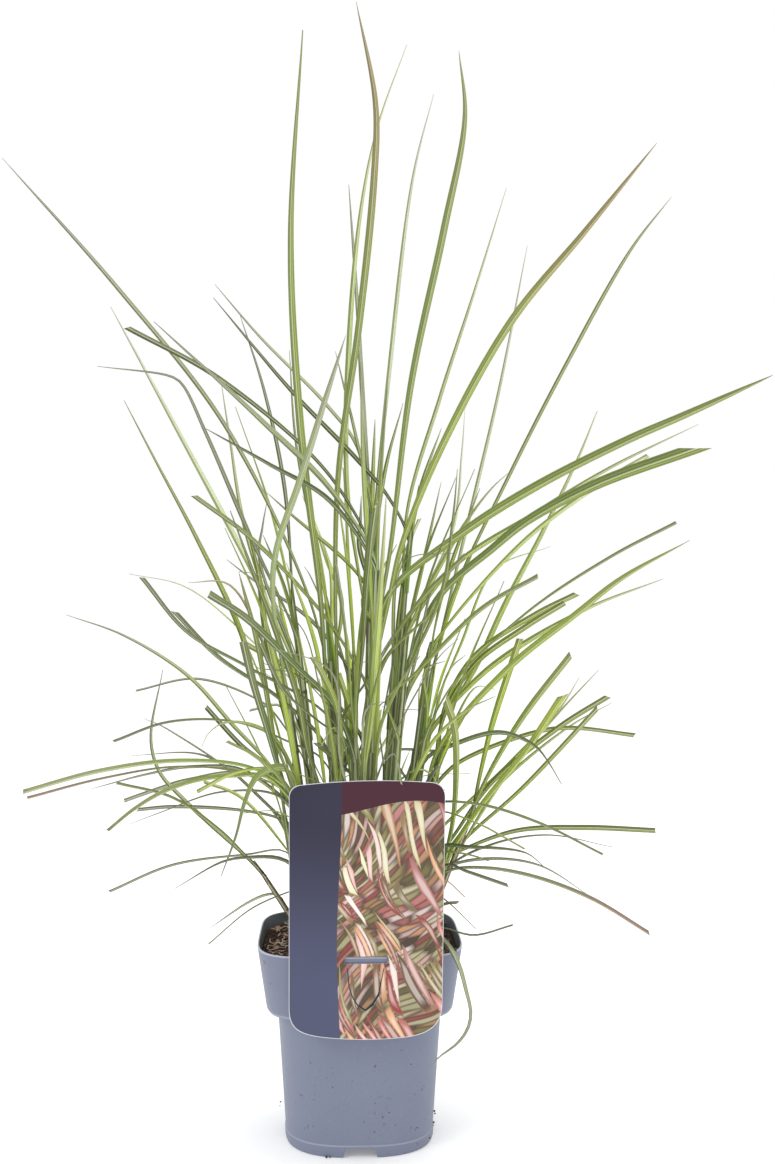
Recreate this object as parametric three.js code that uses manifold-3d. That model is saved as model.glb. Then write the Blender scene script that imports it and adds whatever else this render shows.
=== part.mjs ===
// A potted dwarf Chinese silver grass: a clump of leafy stems in a square nursery pot with a plant label.
// Millimetres, +Z up, -Y is the front with the label. The model is built round the pot's axis, and at the end
// it is shifted so that the origin is the middle of the whole plant's box, on the surface the pot stands on.
import * as THREE from 'three';
import Module from 'manifold-3d';

const wasm = await Module();
wasm.setup();

// The pot
const RIM_WIDTH = 134;
const POT_HEIGHT = 133;
const WALL = 1.3;
const COLLAR_HEIGHT = 42;
const BODY_TOP_WIDTH = 108;
const FOOT_WIDTH = 98;
const FOOT_HEIGHT = 7;
const NOTCH_HEIGHT = 6;
const NOTCH_WIDTH = 18;
const DRAIN_RADIUS = 4;
const POT_TURN = THREE.MathUtils.degToRad(2);
const POT_SIDES = 44;

// The soil
const SOIL_TOP = 126;
const FIT = 0.35;

// The label
const LABEL_WIDTH = 98;
const LABEL_BOTTOM = 82;
const LABEL_TOP = 245;
const LABEL_THICKNESS = 0.7;
const LABEL_OFFSET = 4;

// The clump
const STEM_COUNT = 34;
const STEM_SPACING = 6.5;
const STEM_RADIUS = 3;
const STEM_SIDES = 6;
const SHEATH_TIP = 7;
const SOCKET_DEPTH = 22;
const LEAN_START = SOIL_TOP + 4;
const STEM_LEAN = 0.0045;
const STEM_ARCH = 0.000004;
const LOAD = 2.5;
const LOWEST_ROOT = SOIL_TOP + 20;
const SUNK = 12;
const TURNED_TOP = 520;

// The blades
const KEEL = 1.4;
const STATION = 40;

// How blades are bent clear of each other: their course is tested as a row of beads
const BEAD_STEP = 5;
const SIDESTEP = 9;
const MOST_SIDESTEPS = 9;

// The blades' places are given in the upright plane through the pot's axis, as they are seen from this eye.
const EYE = new THREE.Vector3(19, -980, 368);

const FINEST = 0.05;
const GOLDEN_ANGLE = Math.PI * (3 - Math.sqrt(5));

// Seeded draws between 0 and 1, the same in every run
let seed = 2;
function draw() {
  seed = (seed * 16807) % 2147483647;
  return seed / 2147483647;
}

function between(low, high) {
  return low + (high - low) * draw();
}

function smooth(t) {
  const u = Math.min(Math.max(t, 0), 1);
  return u * u * (3 - 2 * u);
}

// A closed body through rings of points, each ring with as many points as the next, or one point for a pole
function loft(rings) {
  const positions = [];
  const triangles = [];
  const starts = rings.map((ring) => {
    const start = positions.length / 3;
    ring.forEach((p) => positions.push(p.x, p.y, p.z));
    return start;
  });
  for (let i = 0; i + 1 < rings.length; i++) {
    const low = rings[i].length;
    const high = rings[i + 1].length;
    for (let j = 0; j < Math.max(low, high); j++) {
      const a = starts[i] + (j % low);
      const b = starts[i] + ((j + 1) % low);
      const c = starts[i + 1] + ((j + 1) % high);
      const d = starts[i + 1] + (j % high);
      if (low > 1) triangles.push(a, b, d);
      if (high > 1) triangles.push(b, c, d);
    }
  }
  for (let j = 1; j + 1 < rings[0].length; j++) {
    triangles.push(starts[0], starts[0] + j + 1, starts[0] + j);
  }
  const last = rings.length - 1;
  for (let j = 1; j + 1 < rings[last].length; j++) {
    triangles.push(starts[last], starts[last] + j, starts[last] + j + 1);
  }
  return solid(new Float32Array(positions), new Uint32Array(triangles));
}

// A solid from points and triangles, turned the right way out
function solid(vertProperties, triVerts) {
  let volume = 0;
  const p = (i) => new THREE.Vector3().fromArray(vertProperties, triVerts[i] * 3);
  for (let i = 0; i < triVerts.length; i += 3) {
    volume += p(i).dot(p(i + 1).cross(p(i + 2)));
  }
  if (volume < 0) {
    for (let i = 0; i < triVerts.length; i += 3) {
      [triVerts[i], triVerts[i + 1]] = [triVerts[i + 1], triVerts[i]];
    }
  }
  return new wasm.Manifold(new wasm.Mesh({ numProp: 3, vertProperties, triVerts }));
}

// One ring of the pot's section: a rounded square that gets rounder as squareness falls to 2
function potRing(width, squareness, z) {
  return Array.from({ length: POT_SIDES }, (_, i) => {
    const angle = ((i + 0.5) / POT_SIDES) * 2 * Math.PI;
    const c = Math.abs(Math.cos(angle)) ** squareness;
    const s = Math.abs(Math.sin(angle)) ** squareness;
    const radius = width / 2 / (c + s) ** (1 / squareness);
    return new THREE.Vector3(radius, 0, z).applyAxisAngle(new THREE.Vector3(0, 0, 1), angle + POT_TURN);
  });
}

function pole(z) {
  return [new THREE.Vector3(0, 0, z)];
}

// The pot: foot ring, tapering body, collar that stands out, thin rim, and the same wall inside
const COLLAR_FOOT = POT_HEIGHT - COLLAR_HEIGHT;
const COLLAR_FOOT_WIDTH = 123.5;
const BODY_TOP = COLLAR_FOOT - 2.5;
const INSIDE = [
  { width: FOOT_WIDTH - 2 * WALL, squareness: 2.7, z: FOOT_HEIGHT + WALL },
  { width: BODY_TOP_WIDTH - 2 * WALL, squareness: 3.6, z: BODY_TOP + WALL },
  { width: COLLAR_FOOT_WIDTH - 2 * WALL, squareness: 4.3, z: COLLAR_FOOT + 4.5 },
  { width: RIM_WIDTH - 2 * WALL, squareness: 4.7, z: POT_HEIGHT - 0.5 },
];

function pot() {
  const body = loft([
    pole(FOOT_HEIGHT),
    potRing(FOOT_WIDTH - 8, 2.6, FOOT_HEIGHT),
    potRing(FOOT_WIDTH - 7, 2.6, 0),
    potRing(FOOT_WIDTH - 1.6, 2.6, 0),
    potRing(FOOT_WIDTH + 0.6, 2.6, 1.6),
    potRing(FOOT_WIDTH + 1.4, 2.7, FOOT_HEIGHT + 0.4),
    potRing(FOOT_WIDTH + 0.4, 2.7, FOOT_HEIGHT + 1.4),
    potRing(BODY_TOP_WIDTH, 3.6, BODY_TOP),
    potRing(COLLAR_FOOT_WIDTH - 5, 4, COLLAR_FOOT - 1.2),
    potRing(COLLAR_FOOT_WIDTH - 1, 4.2, COLLAR_FOOT + 1),
    potRing(COLLAR_FOOT_WIDTH, 4.3, COLLAR_FOOT + 4),
    potRing(RIM_WIDTH, 4.7, POT_HEIGHT - 0.6),
    potRing(RIM_WIDTH - 0.8, 4.7, POT_HEIGHT),
    potRing(RIM_WIDTH - 2 * WALL + 0.4, 4.7, POT_HEIGHT),
    ...INSIDE.toReversed().map((r) => potRing(r.width, r.squareness, r.z)),
    pole(FOOT_HEIGHT + WALL),
  ]);
  const notches = [0, 1].map((quarter) => drainNotch(quarter * Math.PI / 2));
  const drains = [0, 1, 2, 3].map((quarter) => drainHole(quarter * Math.PI / 2));
  return [...notches, ...drains].reduce((left, cutter) => left.subtract(cutter), body);
}

// A channel under the foot ring from side to side, wider at the bottom
function drainNotch(turn) {
  const ends = [-RIM_WIDTH, RIM_WIDTH].map((along) => [
    new THREE.Vector3(along, -NOTCH_WIDTH / 2 - 2.5, -1),
    new THREE.Vector3(along, NOTCH_WIDTH / 2 + 2.5, -1),
    new THREE.Vector3(along, NOTCH_WIDTH / 2, NOTCH_HEIGHT),
    new THREE.Vector3(along, -NOTCH_WIDTH / 2, NOTCH_HEIGHT),
  ]);
  return loft(turned(ends, turn + POT_TURN));
}

function drainHole(turn) {
  const ends = [FOOT_HEIGHT - 1, FOOT_HEIGHT + WALL + 1].map((z) => disc(0, -30, z, DRAIN_RADIUS, 8));
  return loft(turned(ends, turn + POT_TURN));
}

function turned(rings, angle) {
  const up = new THREE.Vector3(0, 0, 1);
  return rings.map((ring) => ring.map((p) => p.clone().applyAxisAngle(up, angle)));
}

function disc(x, y, z, radius, sides) {
  return Array.from({ length: sides }, (_, i) => {
    const angle = ((i + 0.3) / sides) * 2 * Math.PI;
    return new THREE.Vector3(x + radius * Math.cos(angle), y + radius * Math.sin(angle), z);
  });
}

// The soil: fills the pot with a rough top, and has a plain hole for each stem
function soil(stems) {
  const [floor, shoulderLow, shoulderHigh, rim] = INSIDE;
  const slack = 2 * FIT;
  const edgePart = (SOIL_TOP - 2 - shoulderHigh.z) / (rim.z - shoulderHigh.z);
  const edgeWidth = THREE.MathUtils.lerp(shoulderHigh.width, rim.width, edgePart);
  const rings = [
    pole(floor.z + FIT),
    potRing(floor.width - slack, floor.squareness, floor.z + FIT),
    potRing(shoulderLow.width - slack, shoulderLow.squareness, shoulderLow.z + FIT),
    potRing(shoulderHigh.width - slack, shoulderHigh.squareness, shoulderHigh.z + FIT),
    potRing(edgeWidth - slack, 4.6, SOIL_TOP - 2),
  ];
  [0.86, 0.6, 0.32].forEach((part, ring) => {
    rings.push(potRing(edgeWidth * part, 4, 0).map((p, i) => p.setZ(SOIL_TOP + clod(i, ring))));
  });
  rings.push(pole(SOIL_TOP + 1));
  // From the top down, as the pot's inside is made, so that both have their faces split alike
  return stems.reduce((left, stem) => left.subtract(stemSocket(stem)), loft(rings.reverse()));
}

// Height of the soil's lumps over the general level
function clod(i, ring) {
  return 1.3 * Math.sin(i * 2.4 + ring * 1.7) + 0.9 * Math.sin(i * 5.1 + ring);
}

// The label: a flat sheet with rounded corners, an arched top and bottom, a slit at the rim and a pointed
// tongue
function label() {
  const half = LABEL_WIDTH / 2;
  const topRound = 9;
  const bottomRound = 24;
  const arch = 3;
  const sheet = new THREE.Shape();
  sheet.moveTo(-half, LABEL_BOTTOM + bottomRound - 4);
  const low = LABEL_BOTTOM;
  sheet.bezierCurveTo(-half, low + 8, 4 - half, low + 3, bottomRound - half, low + 1);
  sheet.quadraticCurveTo(0, low - 1.6, half - bottomRound, low + 1);
  sheet.bezierCurveTo(half - 10, low + 3, half - 3, low + 8, half - 2, low + bottomRound - 4);
  sheet.lineTo(half, LABEL_TOP - arch - topRound);
  sheet.quadraticCurveTo(half, LABEL_TOP - arch, half - topRound, LABEL_TOP - arch + 0.6);
  sheet.quadraticCurveTo(0, LABEL_TOP + arch - 2.4, topRound - half, LABEL_TOP - arch - 0.6);
  sheet.quadraticCurveTo(-half, LABEL_TOP - arch - 1, -half, LABEL_TOP - arch - topRound);
  sheet.closePath();
  const slit = POT_HEIGHT + 0.4;
  sheet.holes.push(outline([[-14, slit - 6], [12.4, slit - 6], [12.4, slit], [-14, slit]]));
  sheet.holes.push(outline([
    [-11.4, 113.5], [-0.7, 99], [8.6, 111], [8.2, 113.6], [7, 113.6], [7.2, 111.6], [-0.7, 100.7], [-10.4, 114],
  ]));
  const geometry = new THREE.ExtrudeGeometry(sheet, {
    depth: LABEL_THICKNESS,
    bevelEnabled: false,
    curveSegments: 5,
  });
  geometry.rotateX(Math.PI / 2);
  geometry.translate(LABEL_OFFSET, -RIM_WIDTH / 2 - FIT, 0);
  geometry.rotateZ(POT_TURN);
  return geometry;
}

function outline(points) {
  return new THREE.Path(points.map(([x, z]) => new THREE.Vector2(x, z)));
}

// A stem's place in the soil: a sunflower spiral round the pot's axis
function stemPlace(k) {
  const radius = STEM_SPACING * Math.sqrt(k + 0.6);
  const angle = k * GOLDEN_ANGLE + 0.4;
  return { x: radius * Math.cos(angle), y: radius * Math.sin(angle) };
}

// A stem is upright in the soil, then leans outwards, the more the higher it gets
function onStem(stem, z) {
  const rise = Math.max(z - LEAN_START, 0);
  const lean = STEM_LEAN * rise + STEM_ARCH * rise * rise;
  const outX = stem.lean ? stem.lean.x * rise : stem.x * lean;
  const outY = stem.lean ? stem.lean.y * rise : stem.y * lean;
  return new THREE.Vector3(stem.x + outX, stem.y + outY, z);
}

// One row for each blade that shows by itself: where it leaves its stem, across and up, its width, how far its
// tip reaches in depth (+ is away from the viewer), and the places that it passes on the way to its end.
const CUT = 'cut';
const POINTED = 'pointed';
const FINE = 'fine';
const BLADES = [
  // Tall ones in the middle
  [-14, 285, 5.5, FINE, -60, [-26, 356], [-40, 478], [-46, 600], [-38, 739]],
  [-10, 290, 5, POINTED, -30, [-16, 356], [-14, 441], [0, 542], [10, 640], [11, 689], [-2, 758]],
  [-3, 329, 4, FINE, 70, [-8, 430], [-7, 525], [1, 617], [13, 676], [32, 729]],
  [7, 400, 4, FINE, 100, [2, 497], [-1, 550], [-7, 635]],
  [14, 383, 3.5, FINE, 130, [20, 508], [36, 639], [50, 696]],
  [13, 322, 5, POINTED, -80, [21, 391], [35, 502], [57, 605], [71, 680], [67, 725]],
  [17, 342, 3, FINE, 100, [32, 414], [54, 491], [77, 562], [99, 633]],
  [10, 320, 3.5, FINE, -100, [7, 375], [3, 441], [1, 516]],
  [10, 400, 2.5, FINE, 60, [-2, 465], [-16, 523]],
  [-30, 350, 2.5, FINE, 100, [-42, 458], [-47, 524]],
  // Upper left
  [-16, 289, 3.5, POINTED, 60, [-34, 358], [-90, 473], [-161, 564], [-240, 653]],
  [-40, 295, 4, FINE, 90, [-67, 365], [-128, 481], [-167, 553]],
  [4, 383, 4, CUT, 30, [-21, 441], [-93, 504], [-156, 539]],
  [8, 380, 4, FINE, -40, [-19, 430], [-65, 476], [-138, 543]],
  [-50, 329, 3, FINE, -20, [-72, 396], [-103, 468], [-119, 501], [-126, 506], [-176, 513]],
  [14, 405, 3, FINE, 110, [-1, 458], [-21, 486], [-66, 532], [-97, 568]],
  [28, 396, 3.5, FINE, 50, [19, 426], [-2, 451], [-46, 497], [-98, 559]],
  [-38, 350, 3, FINE, 120, [-50, 430], [-64, 497], [-80, 547]],
  [-46, 228, 4, FINE, 80, [-67, 289], [-79, 333], [-109, 397], [-135, 446], [-158, 490]],
  [10, 375, 3.5, FINE, -50, [-19, 422], [-62, 448], [-103, 471]],
  [11, 289, 3.5, CUT, -20, [-14, 332], [-34, 358], [-72, 397], [-111, 426]],
  [8, 360, 3, FINE, 60, [-5, 378], [-44, 412], [-62, 428]],
  [-48, 290, 3, FINE, 110, [-77, 405], [-87, 465], [-93, 504]],
  [-50, 300, 3, FINE, 90, [-67, 383], [-65, 405], [-62, 422]],
  [-46, 289, 4.5, POINTED, -70, [-58, 358], [-56, 388], [-40, 436], [-24, 487], [-9, 534]],
  [-5, 300, 3, FINE, 80, [-30, 340], [-72, 370], [-89, 383]],
  [-36, 215, 4.5, POINTED, 20, [-40, 232], [-62, 329], [-68, 375], [-75, 403]],
  [-42, 200, 4, POINTED, -40, [-58, 266], [-68, 325], [-81, 375]],
  [-42, 190, 5.5, CUT, -60, [-50, 230], [-62, 270], [-72, 303], [-78, 328]],
  // Left, middle height
  [-40, 208, 3, FINE, 40, [-58, 242], [-85, 272], [-115, 305], [-158, 332], [-197, 346]],
  [-9, 248, 3, CUT, -60, [-22, 279], [-75, 311], [-115, 334], [-146, 371]],
  [-9, 228, 4, CUT, -30, [-24, 260], [-54, 290], [-95, 318], [-124, 348]],
  [-3, 248, 6, CUT, -90, [-17, 285], [-42, 311], [-75, 343], [-101, 360]],
  [2, 255, 4, CUT, 50, [-12, 283], [-46, 309], [-79, 328]],
  [-33, 235, 2, CUT, 70, [-58, 281], [-72, 291], [-109, 303], [-150, 295]],
  [-13, 221, 2.5, CUT, -10, [-26, 250], [-46, 260], [-83, 274], [-128, 274], [-165, 261]],
  [-30, 225, 3, FINE, -50, [-60, 266], [-88, 274], [-101, 267], [-106, 257]],
  [-40, 201, 3.5, CUT, 60, [-62, 244], [-79, 258], [-103, 284]],
  [-33, 194, 4.5, CUT, -80, [-47, 228], [-68, 250], [-89, 261]],
  [5, 225, 3.5, CUT, -60, [-12, 245], [-29, 260]],
  // Low left arcs
  [-26, 188, 3.5, CUT, -40, [-49, 230], [-75, 244], [-122, 248], [-175, 241], [-226, 227]],
  [-24, 180, 2.5, CUT, -10, [-49, 226], [-80, 240], [-122, 244], [-173, 236], [-223, 223]],
  [-28, 195, 3, FINE, 60, [-75, 240], [-111, 244], [-142, 239], [-180, 229]],
  [-30, 190, 3, CUT, 30, [-73, 238], [-115, 235], [-138, 228], [-158, 221]],
  [-40, 208, 4, CUT, -70, [-62, 237], [-83, 238], [-109, 235], [-132, 227], [-152, 215], [-169, 201]],
  [-29, 181, 2.5, CUT, 10, [-50, 207], [-75, 214], [-125, 217], [-149, 215]],
  [-29, 191, 2, FINE, -20, [-52, 223], [-92, 227], [-134, 213], [-155, 205]],
  [-33, 204, 3.5, FINE, -80, [-50, 243], [-68, 238], [-77, 220], [-83, 197], [-93, 170]],
  [-29, 168, 2, CUT, 40, [-50, 187], [-75, 185], [-125, 178], [-168, 160]],
  [-28, 160, 3, FINE, -30, [-50, 181], [-75, 183], [-92, 180], [-124, 162]],
  // Broad one to the upper right and its neighbours
  [11, 302, 5.5, POINTED, -70, [21, 361], [28, 391], [55, 458], [102, 543], [152, 604], [200, 663]],
  [44, 295, 3.5, POINTED, 70, [62, 356], [100, 438], [139, 514], [183, 592], [210, 627]],
  [48, 302, 3, FINE, 130, [67, 383], [75, 416], [94, 497], [113, 594]],
  [4, 302, 7, POINTED, -50, [19, 358], [65, 398], [118, 432], [179, 463], [218, 480], [278, 507]],
  [34, 322, 4, FINE, 60, [61, 376], [118, 414], [169, 445], [228, 474]],
  [28, 295, 8, CUT, -20, [52, 356], [90, 391], [114, 410], [160, 434], [226, 458]],
  [50, 320, 4, CUT, 30, [108, 393], [165, 436], [194, 453]],
  [44, 262, 2.5, CUT, -40, [62, 298], [112, 347], [169, 385], [213, 408]],
  [40, 215, 5, POINTED, -80, [52, 253], [99, 309], [145, 346], [177, 371], [222, 396]],
  [48, 255, 4, FINE, 40, [74, 298], [102, 321], [155, 351], [204, 370]],
  [13, 262, 3.5, CUT, -90, [19, 289], [36, 305], [82, 350], [120, 372]],
  [48, 248, 4, CUT, 20, [57, 283], [77, 318], [118, 346], [146, 360]],
  [44, 228, 4, CUT, 0, [56, 275], [77, 312], [112, 338], [138, 354]],
  [54, 255, 4.5, FINE, 60, [74, 303], [99, 355], [124, 403], [147, 451], [160, 483]],
  [30, 330, 2.5, FINE, 120, [62, 400], [69, 455], [71, 484]],
  [35, 300, 3, FINE, -90, [55, 360], [63, 411], [66, 444]],
  [25, 310, 3, FINE, 80, [44, 385], [55, 435]],
  [30, 330, 3, FINE, -40, [69, 404], [90, 432], [100, 441]],
  // Right, middle height
  [48, 154, 6, CUT, -60, [60, 183], [82, 218], [112, 255], [137, 292]],
  [56, 190, 3, FINE, 40, [100, 245], [135, 283], [148, 304]],
  [54, 180, 3, FINE, -10, [100, 240], [134, 280], [161, 309]],
  [48, 168, 4, CUT, 30, [61, 194], [89, 233], [135, 271], [167, 291]],
  [46, 160, 3, FINE, 50, [61, 190], [92, 230], [140, 270], [170, 287]],
  [44, 201, 4.5, CUT, 50, [55, 236], [69, 248], [118, 267], [142, 270], [185, 265]],
  [34, 208, 3.5, POINTED, -60, [44, 248], [64, 259], [95, 267], [118, 258], [128, 246], [136, 232]],
  [48, 154, 3.5, CUT, 10, [58, 180], [74, 198], [109, 229], [160, 283]],
  [51, 154, 5, CUT, -70, [58, 183], [63, 208], [65, 236], [64, 270], [58, 289]],
  // Low right arcs
  [48, 164, 4, CUT, 60, [69, 188], [106, 201], [152, 203], [199, 201]],
  [44, 154, 2, FINE, -30, [60, 176], [90, 192], [127, 198], [170, 190]],
  [38, 168, 3, FINE, -70, [55, 190], [74, 190], [112, 186], [125, 176]],
  [44, 154, 2.5, FINE, 90, [60, 177], [86, 182], [120, 178], [158, 155]],
  [41, 158, 3.5, CUT, -50, [60, 174], [84, 176], [118, 170], [157, 155], [195, 132]],
  [44, 160, 3, CUT, -90, [59, 178], [71, 174], [100, 164]],
  // On the two low side shoots
  [-67, 172, 3, CUT, -20, [-79, 187], [-92, 200], [-125, 223], [-163, 233]],
  [-67, 172, 3, FINE, 20, [-100, 205], [-118, 222], [-134, 240], [-140, 262], [-132, 309]],
  [-46, 150, 2, FINE, 30, [-55, 158], [-62, 158], [-74, 153], [-101, 135]],
  [72, 217, 4.5, CUT, 10, [79, 228], [89, 271], [108, 330]],
  [70, 205, 4.5, CUT, -20, [83, 231], [109, 276], [142, 319]],
  // The one that droops over the rim, with its depths given
  [
    32, 150, 3.5, FINE, -100, [46, 138, -44], [56, 128, -54], [63, 119, -62], [68, 108, -68], [72, 93, -72],
    [75, 79, -73], [73, 68, -72], [66, 58, -71], [54, 49, -69], [48, 43, -68],
  ],
];

// Two low shoots lean out at the sides, beside the stems of the spiral.
const SIDE_SHOOTS = [
  { x: -38, y: 3, lean: new THREE.Vector3(-0.66, 0.02, 0), top: 174 },
  { x: 41, y: -12, lean: new THREE.Vector3(0.4, -0.04, 0), top: 219 },
];

// From the plane that the blades' places are given in to a real depth, so that they stay where they are seen
function atDepth(x, z, y) {
  const far = (y - EYE.y) / -EYE.y;
  return new THREE.Vector3(EYE.x + (x - EYE.x) * far, y, EYE.z + (z - EYE.z) * far);
}

// The stem that a blade grows from: one that passes near its root, and doesn't carry many yet
function nearestStem(stems, root) {
  const cost = (stem) => {
    const away = onStem(stem, root.z).distanceTo(root);
    return away + LOAD * stem.blades.length + overTip(stem, root.z);
  };
  return stems.reduce((best, stem) => (cost(stem) < cost(best) ? stem : best));
}

// A side shoot ends low, and carries no blade over its tip
function overTip(stem, z) {
  return stem.lean && z > stem.top ? 1000 : 0;
}

// The blades that show by themselves, as courses from root to tip
function seenBlade(stems, [x, z, width, end, reach, ...places]) {
  const root = atDepth(x, Math.max(z, LOWEST_ROOT), THREE.MathUtils.clamp(reach * 0.3, -30, 30));
  const stem = nearestStem(stems, root);
  const foot = onStem(stem, root.z);
  const run = [0];
  places.forEach(([px, pz], i) => {
    const [fromX, fromZ] = i ? places[i - 1] : [x, z];
    run.push(run[i] + Math.hypot(px - fromX, pz - fromZ));
  });
  const course = (trial) => {
    const bend = reach + SIDESTEP * trial;
    const depth = (i) => foot.y + bend * (run[i + 1] / run.at(-1)) ** 1.5;
    return [foot, ...places.map(([px, pz, y], i) => atDepth(px, pz, y ?? depth(i)))];
  };
  // Its width lies across the line of sight, with the underside to the viewer on a blade that leans forward
  const [tipX, tipZ] = places.at(-1);
  const facing = reach < 0 ? -1 : 1;
  const across = new THREE.Vector3(z - tipZ, 0, tipX - x).multiplyScalar(facing).normalize();
  const flatness = Math.abs(tipX - x) / Math.hypot(tipX - x, tipZ - z);
  const roll = -Math.sign(tipX - x) * facing * (between(10, 28) + 12 * flatness);
  return addBlade({ stem, width, end, course, root: foot, across, roll });
}

function addBlade(blade) {
  blade.stem.blades.push(blade);
  return blade;
}

// A level direction across the way from a blade's root to its tip
function levelAcross(root, tip) {
  return new THREE.Vector3(root.y - tip.y, tip.x - root.x, 0).normalize();
}

// The plant is as full towards the front and the back as at its sides: the same blades stand there again,
// turned round the pot's axis and somewhat shorter. Low ones stand at the back, as the label is in their way.
function turnedBlade(stems, row, n) {
  const [x, z, width, end, , ...places] = row;
  const low = Math.min(...places.map(([, pz]) => pz)) < LABEL_TOP + 25;
  const quarter = low || n % 2 ? 90 + between(-32, 32) : -90 + between(-14, 14);
  const size = between(0.72, 0.9);
  const at = (px, pz, degrees) => {
    const angle = THREE.MathUtils.degToRad(degrees);
    return new THREE.Vector3(px * Math.cos(angle), px * Math.sin(angle), pz);
  };
  const side = Math.sign(places.at(-1)[0]);
  const root = at(x * 0.8, Math.max(z * 0.94, LOWEST_ROOT), quarter);
  const stem = nearestStem(stems, root);
  const foot = onStem(stem, root.z);
  const course = (trial) => [
    foot,
    ...places.map(([px, pz]) => at(side * Math.abs(px) * size, foot.z + (pz - z) * size, quarter + 5 * trial)),
  ];
  const across = levelAcross(foot, course(0).at(-1));
  const roll = between(8, 45) * (draw() < 0.4 ? -1 : 1);
  return addBlade({ stem, width: Math.min(width, 6), end, course, root: foot, across, roll });
}

// The youngest blade of a stem stands nearly upright in its tip.
function heartBlade(stem) {
  const foot = onStem(stem, stem.top - 4);
  const length = between(70, 150);
  const spread = between(0.12, 0.3) * length;
  const facing = Math.atan2(stem.y, stem.x) + between(-0.6, 0.6);
  const course = (trial) => {
    const angle = facing + 0.3 * trial;
    const out = new THREE.Vector3(Math.cos(angle), Math.sin(angle), 0);
    const lean = onStem(stem, stem.top).sub(onStem(stem, stem.top - 10)).multiplyScalar(length / 10);
    const halfway = foot.clone().addScaledVector(lean, 0.5).addScaledVector(out, 0.3 * spread);
    return [foot, halfway, foot.clone().add(lean).addScaledVector(out, spread)];
  };
  const across = levelAcross(foot, course(0).at(-1));
  const roll = between(0, 60);
  return addBlade({ stem, width: between(3, 4.5), end: FINE, course, root: foot, across, roll });
}

// A blade is bent aside until it is clear of the other stems and of the blades that are there already
function settle(blade, beads) {
  let best = null;
  for (let n = 0; n <= 2 * MOST_SIDESTEPS; n++) {
    const trial = (n % 2 ? 1 : -1) * Math.ceil(n / 2);
    const points = blade.course(trial);
    const line = courseLine(blade, points);
    const own = beadsOn(line, blade);
    const room = clearance(own, beads, blade.stem);
    if (!best || room > best.room) best = { room, line, own };
    if (room > 0) break;
  }
  Object.assign(blade, { line: best.line, room: best.room });
  beads.push(...best.own);
}

// The curve of a blade's middle, from inside its stem to its tip
function courseLine(blade, points) {
  const sunk = onStem(blade.stem, Math.max(blade.root.z - SUNK, LOWEST_ROOT - SUNK));
  return new THREE.CatmullRomCurve3([sunk, ...points], false, 'centripetal');
}

function beadsOn(line, blade) {
  const count = Math.round(line.getLength() / BEAD_STEP);
  const radius = 0.32 * blade.width + 0.9;
  return line.getSpacedPoints(count).map((p) => ({ x: p.x, y: p.y, z: p.z, radius, stem: blade.stem }));
}

function stemBeads(stem) {
  const count = Math.ceil((stem.top - SOIL_TOP) / BEAD_STEP);
  return Array.from({ length: count + 1 }, (_, i) => {
    const p = onStem(stem, SOIL_TOP + i * BEAD_STEP);
    return { x: p.x, y: p.y, z: p.z, radius: STEM_RADIUS + 0.6, stem };
  });
}

// The least room between a blade and all that belongs to other stems, the label and the pot
function clearance(own, beads, stem) {
  let room = Infinity;
  for (const a of own) {
    const beforeLabel = Math.abs(a.x - LABEL_OFFSET) < LABEL_WIDTH / 2 + 5 && a.z < LABEL_TOP + 5;
    if (beforeLabel) room = Math.min(room, a.y + RIM_WIDTH / 2 - 8);
    for (const b of beads) {
      if (b.stem === stem) continue;
      const reach = a.radius + b.radius;
      const dx = a.x - b.x;
      const dy = a.y - b.y;
      const dz = a.z - b.z;
      const square = dx * dx + dy * dy + dz * dz;
      if (square < reach * reach) room = Math.min(room, Math.sqrt(square) - reach);
    }
  }
  return room;
}

// A blade: long and narrow with a keel under its middle, turned about its length so that its face shows
function bladeSolid(blade) {
  const { line, width, end, across } = blade;
  const steps = Math.max(line.points.length - 1, Math.min(Math.round(line.getLength() / STATION), 10));
  const roll = THREE.MathUtils.degToRad(blade.roll);
  const rings = [];
  for (let i = 0; i <= steps; i++) {
    const part = i / steps;
    const middle = line.getPointAt(part);
    const along = line.getTangentAt(part);
    const flat = across.clone().addScaledVector(along, -across.dot(along)).normalize();
    const edge = flat.applyAxisAngle(along, roll * smooth(part * 1.6));
    const under = edge.clone().cross(along);
    const half = 0.5 * width * bladeWidth(part, end);
    if (i === steps && end !== CUT) {
      rings.push([middle]);
      continue;
    }
    const keel = KEEL * Math.max(0.55, bladeWidth(part, end));
    rings.push([
      middle.clone().addScaledVector(edge, half),
      middle.clone().addScaledVector(edge, -half),
      middle.clone().addScaledVector(under, keel),
    ]);
  }
  return loft(rings);
}

// Narrow where it leaves the sheath, full in its outer half, then drawn in to a point. A fine blade is drawn
// in all the way from its middle, and a cut one ends before it tapers.
const TAPERS = {
  [POINTED]: { full: 0.6, from: 0.6, power: 3, loss: 0.97 },
  [FINE]: { full: 0.45, from: 0.4, power: 1.05, loss: 0.96 },
  [CUT]: { full: 0.8, from: 1, power: 1, loss: 0 },
};

function bladeWidth(part, end) {
  const { full, from, power, loss } = TAPERS[end];
  const swell = 0.42 + 0.58 * smooth(part / full);
  const rest = Math.max(part - from, 0) / Math.max(1 - from, 0.1);
  return swell * (1 - loss * rest ** power);
}

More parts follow.
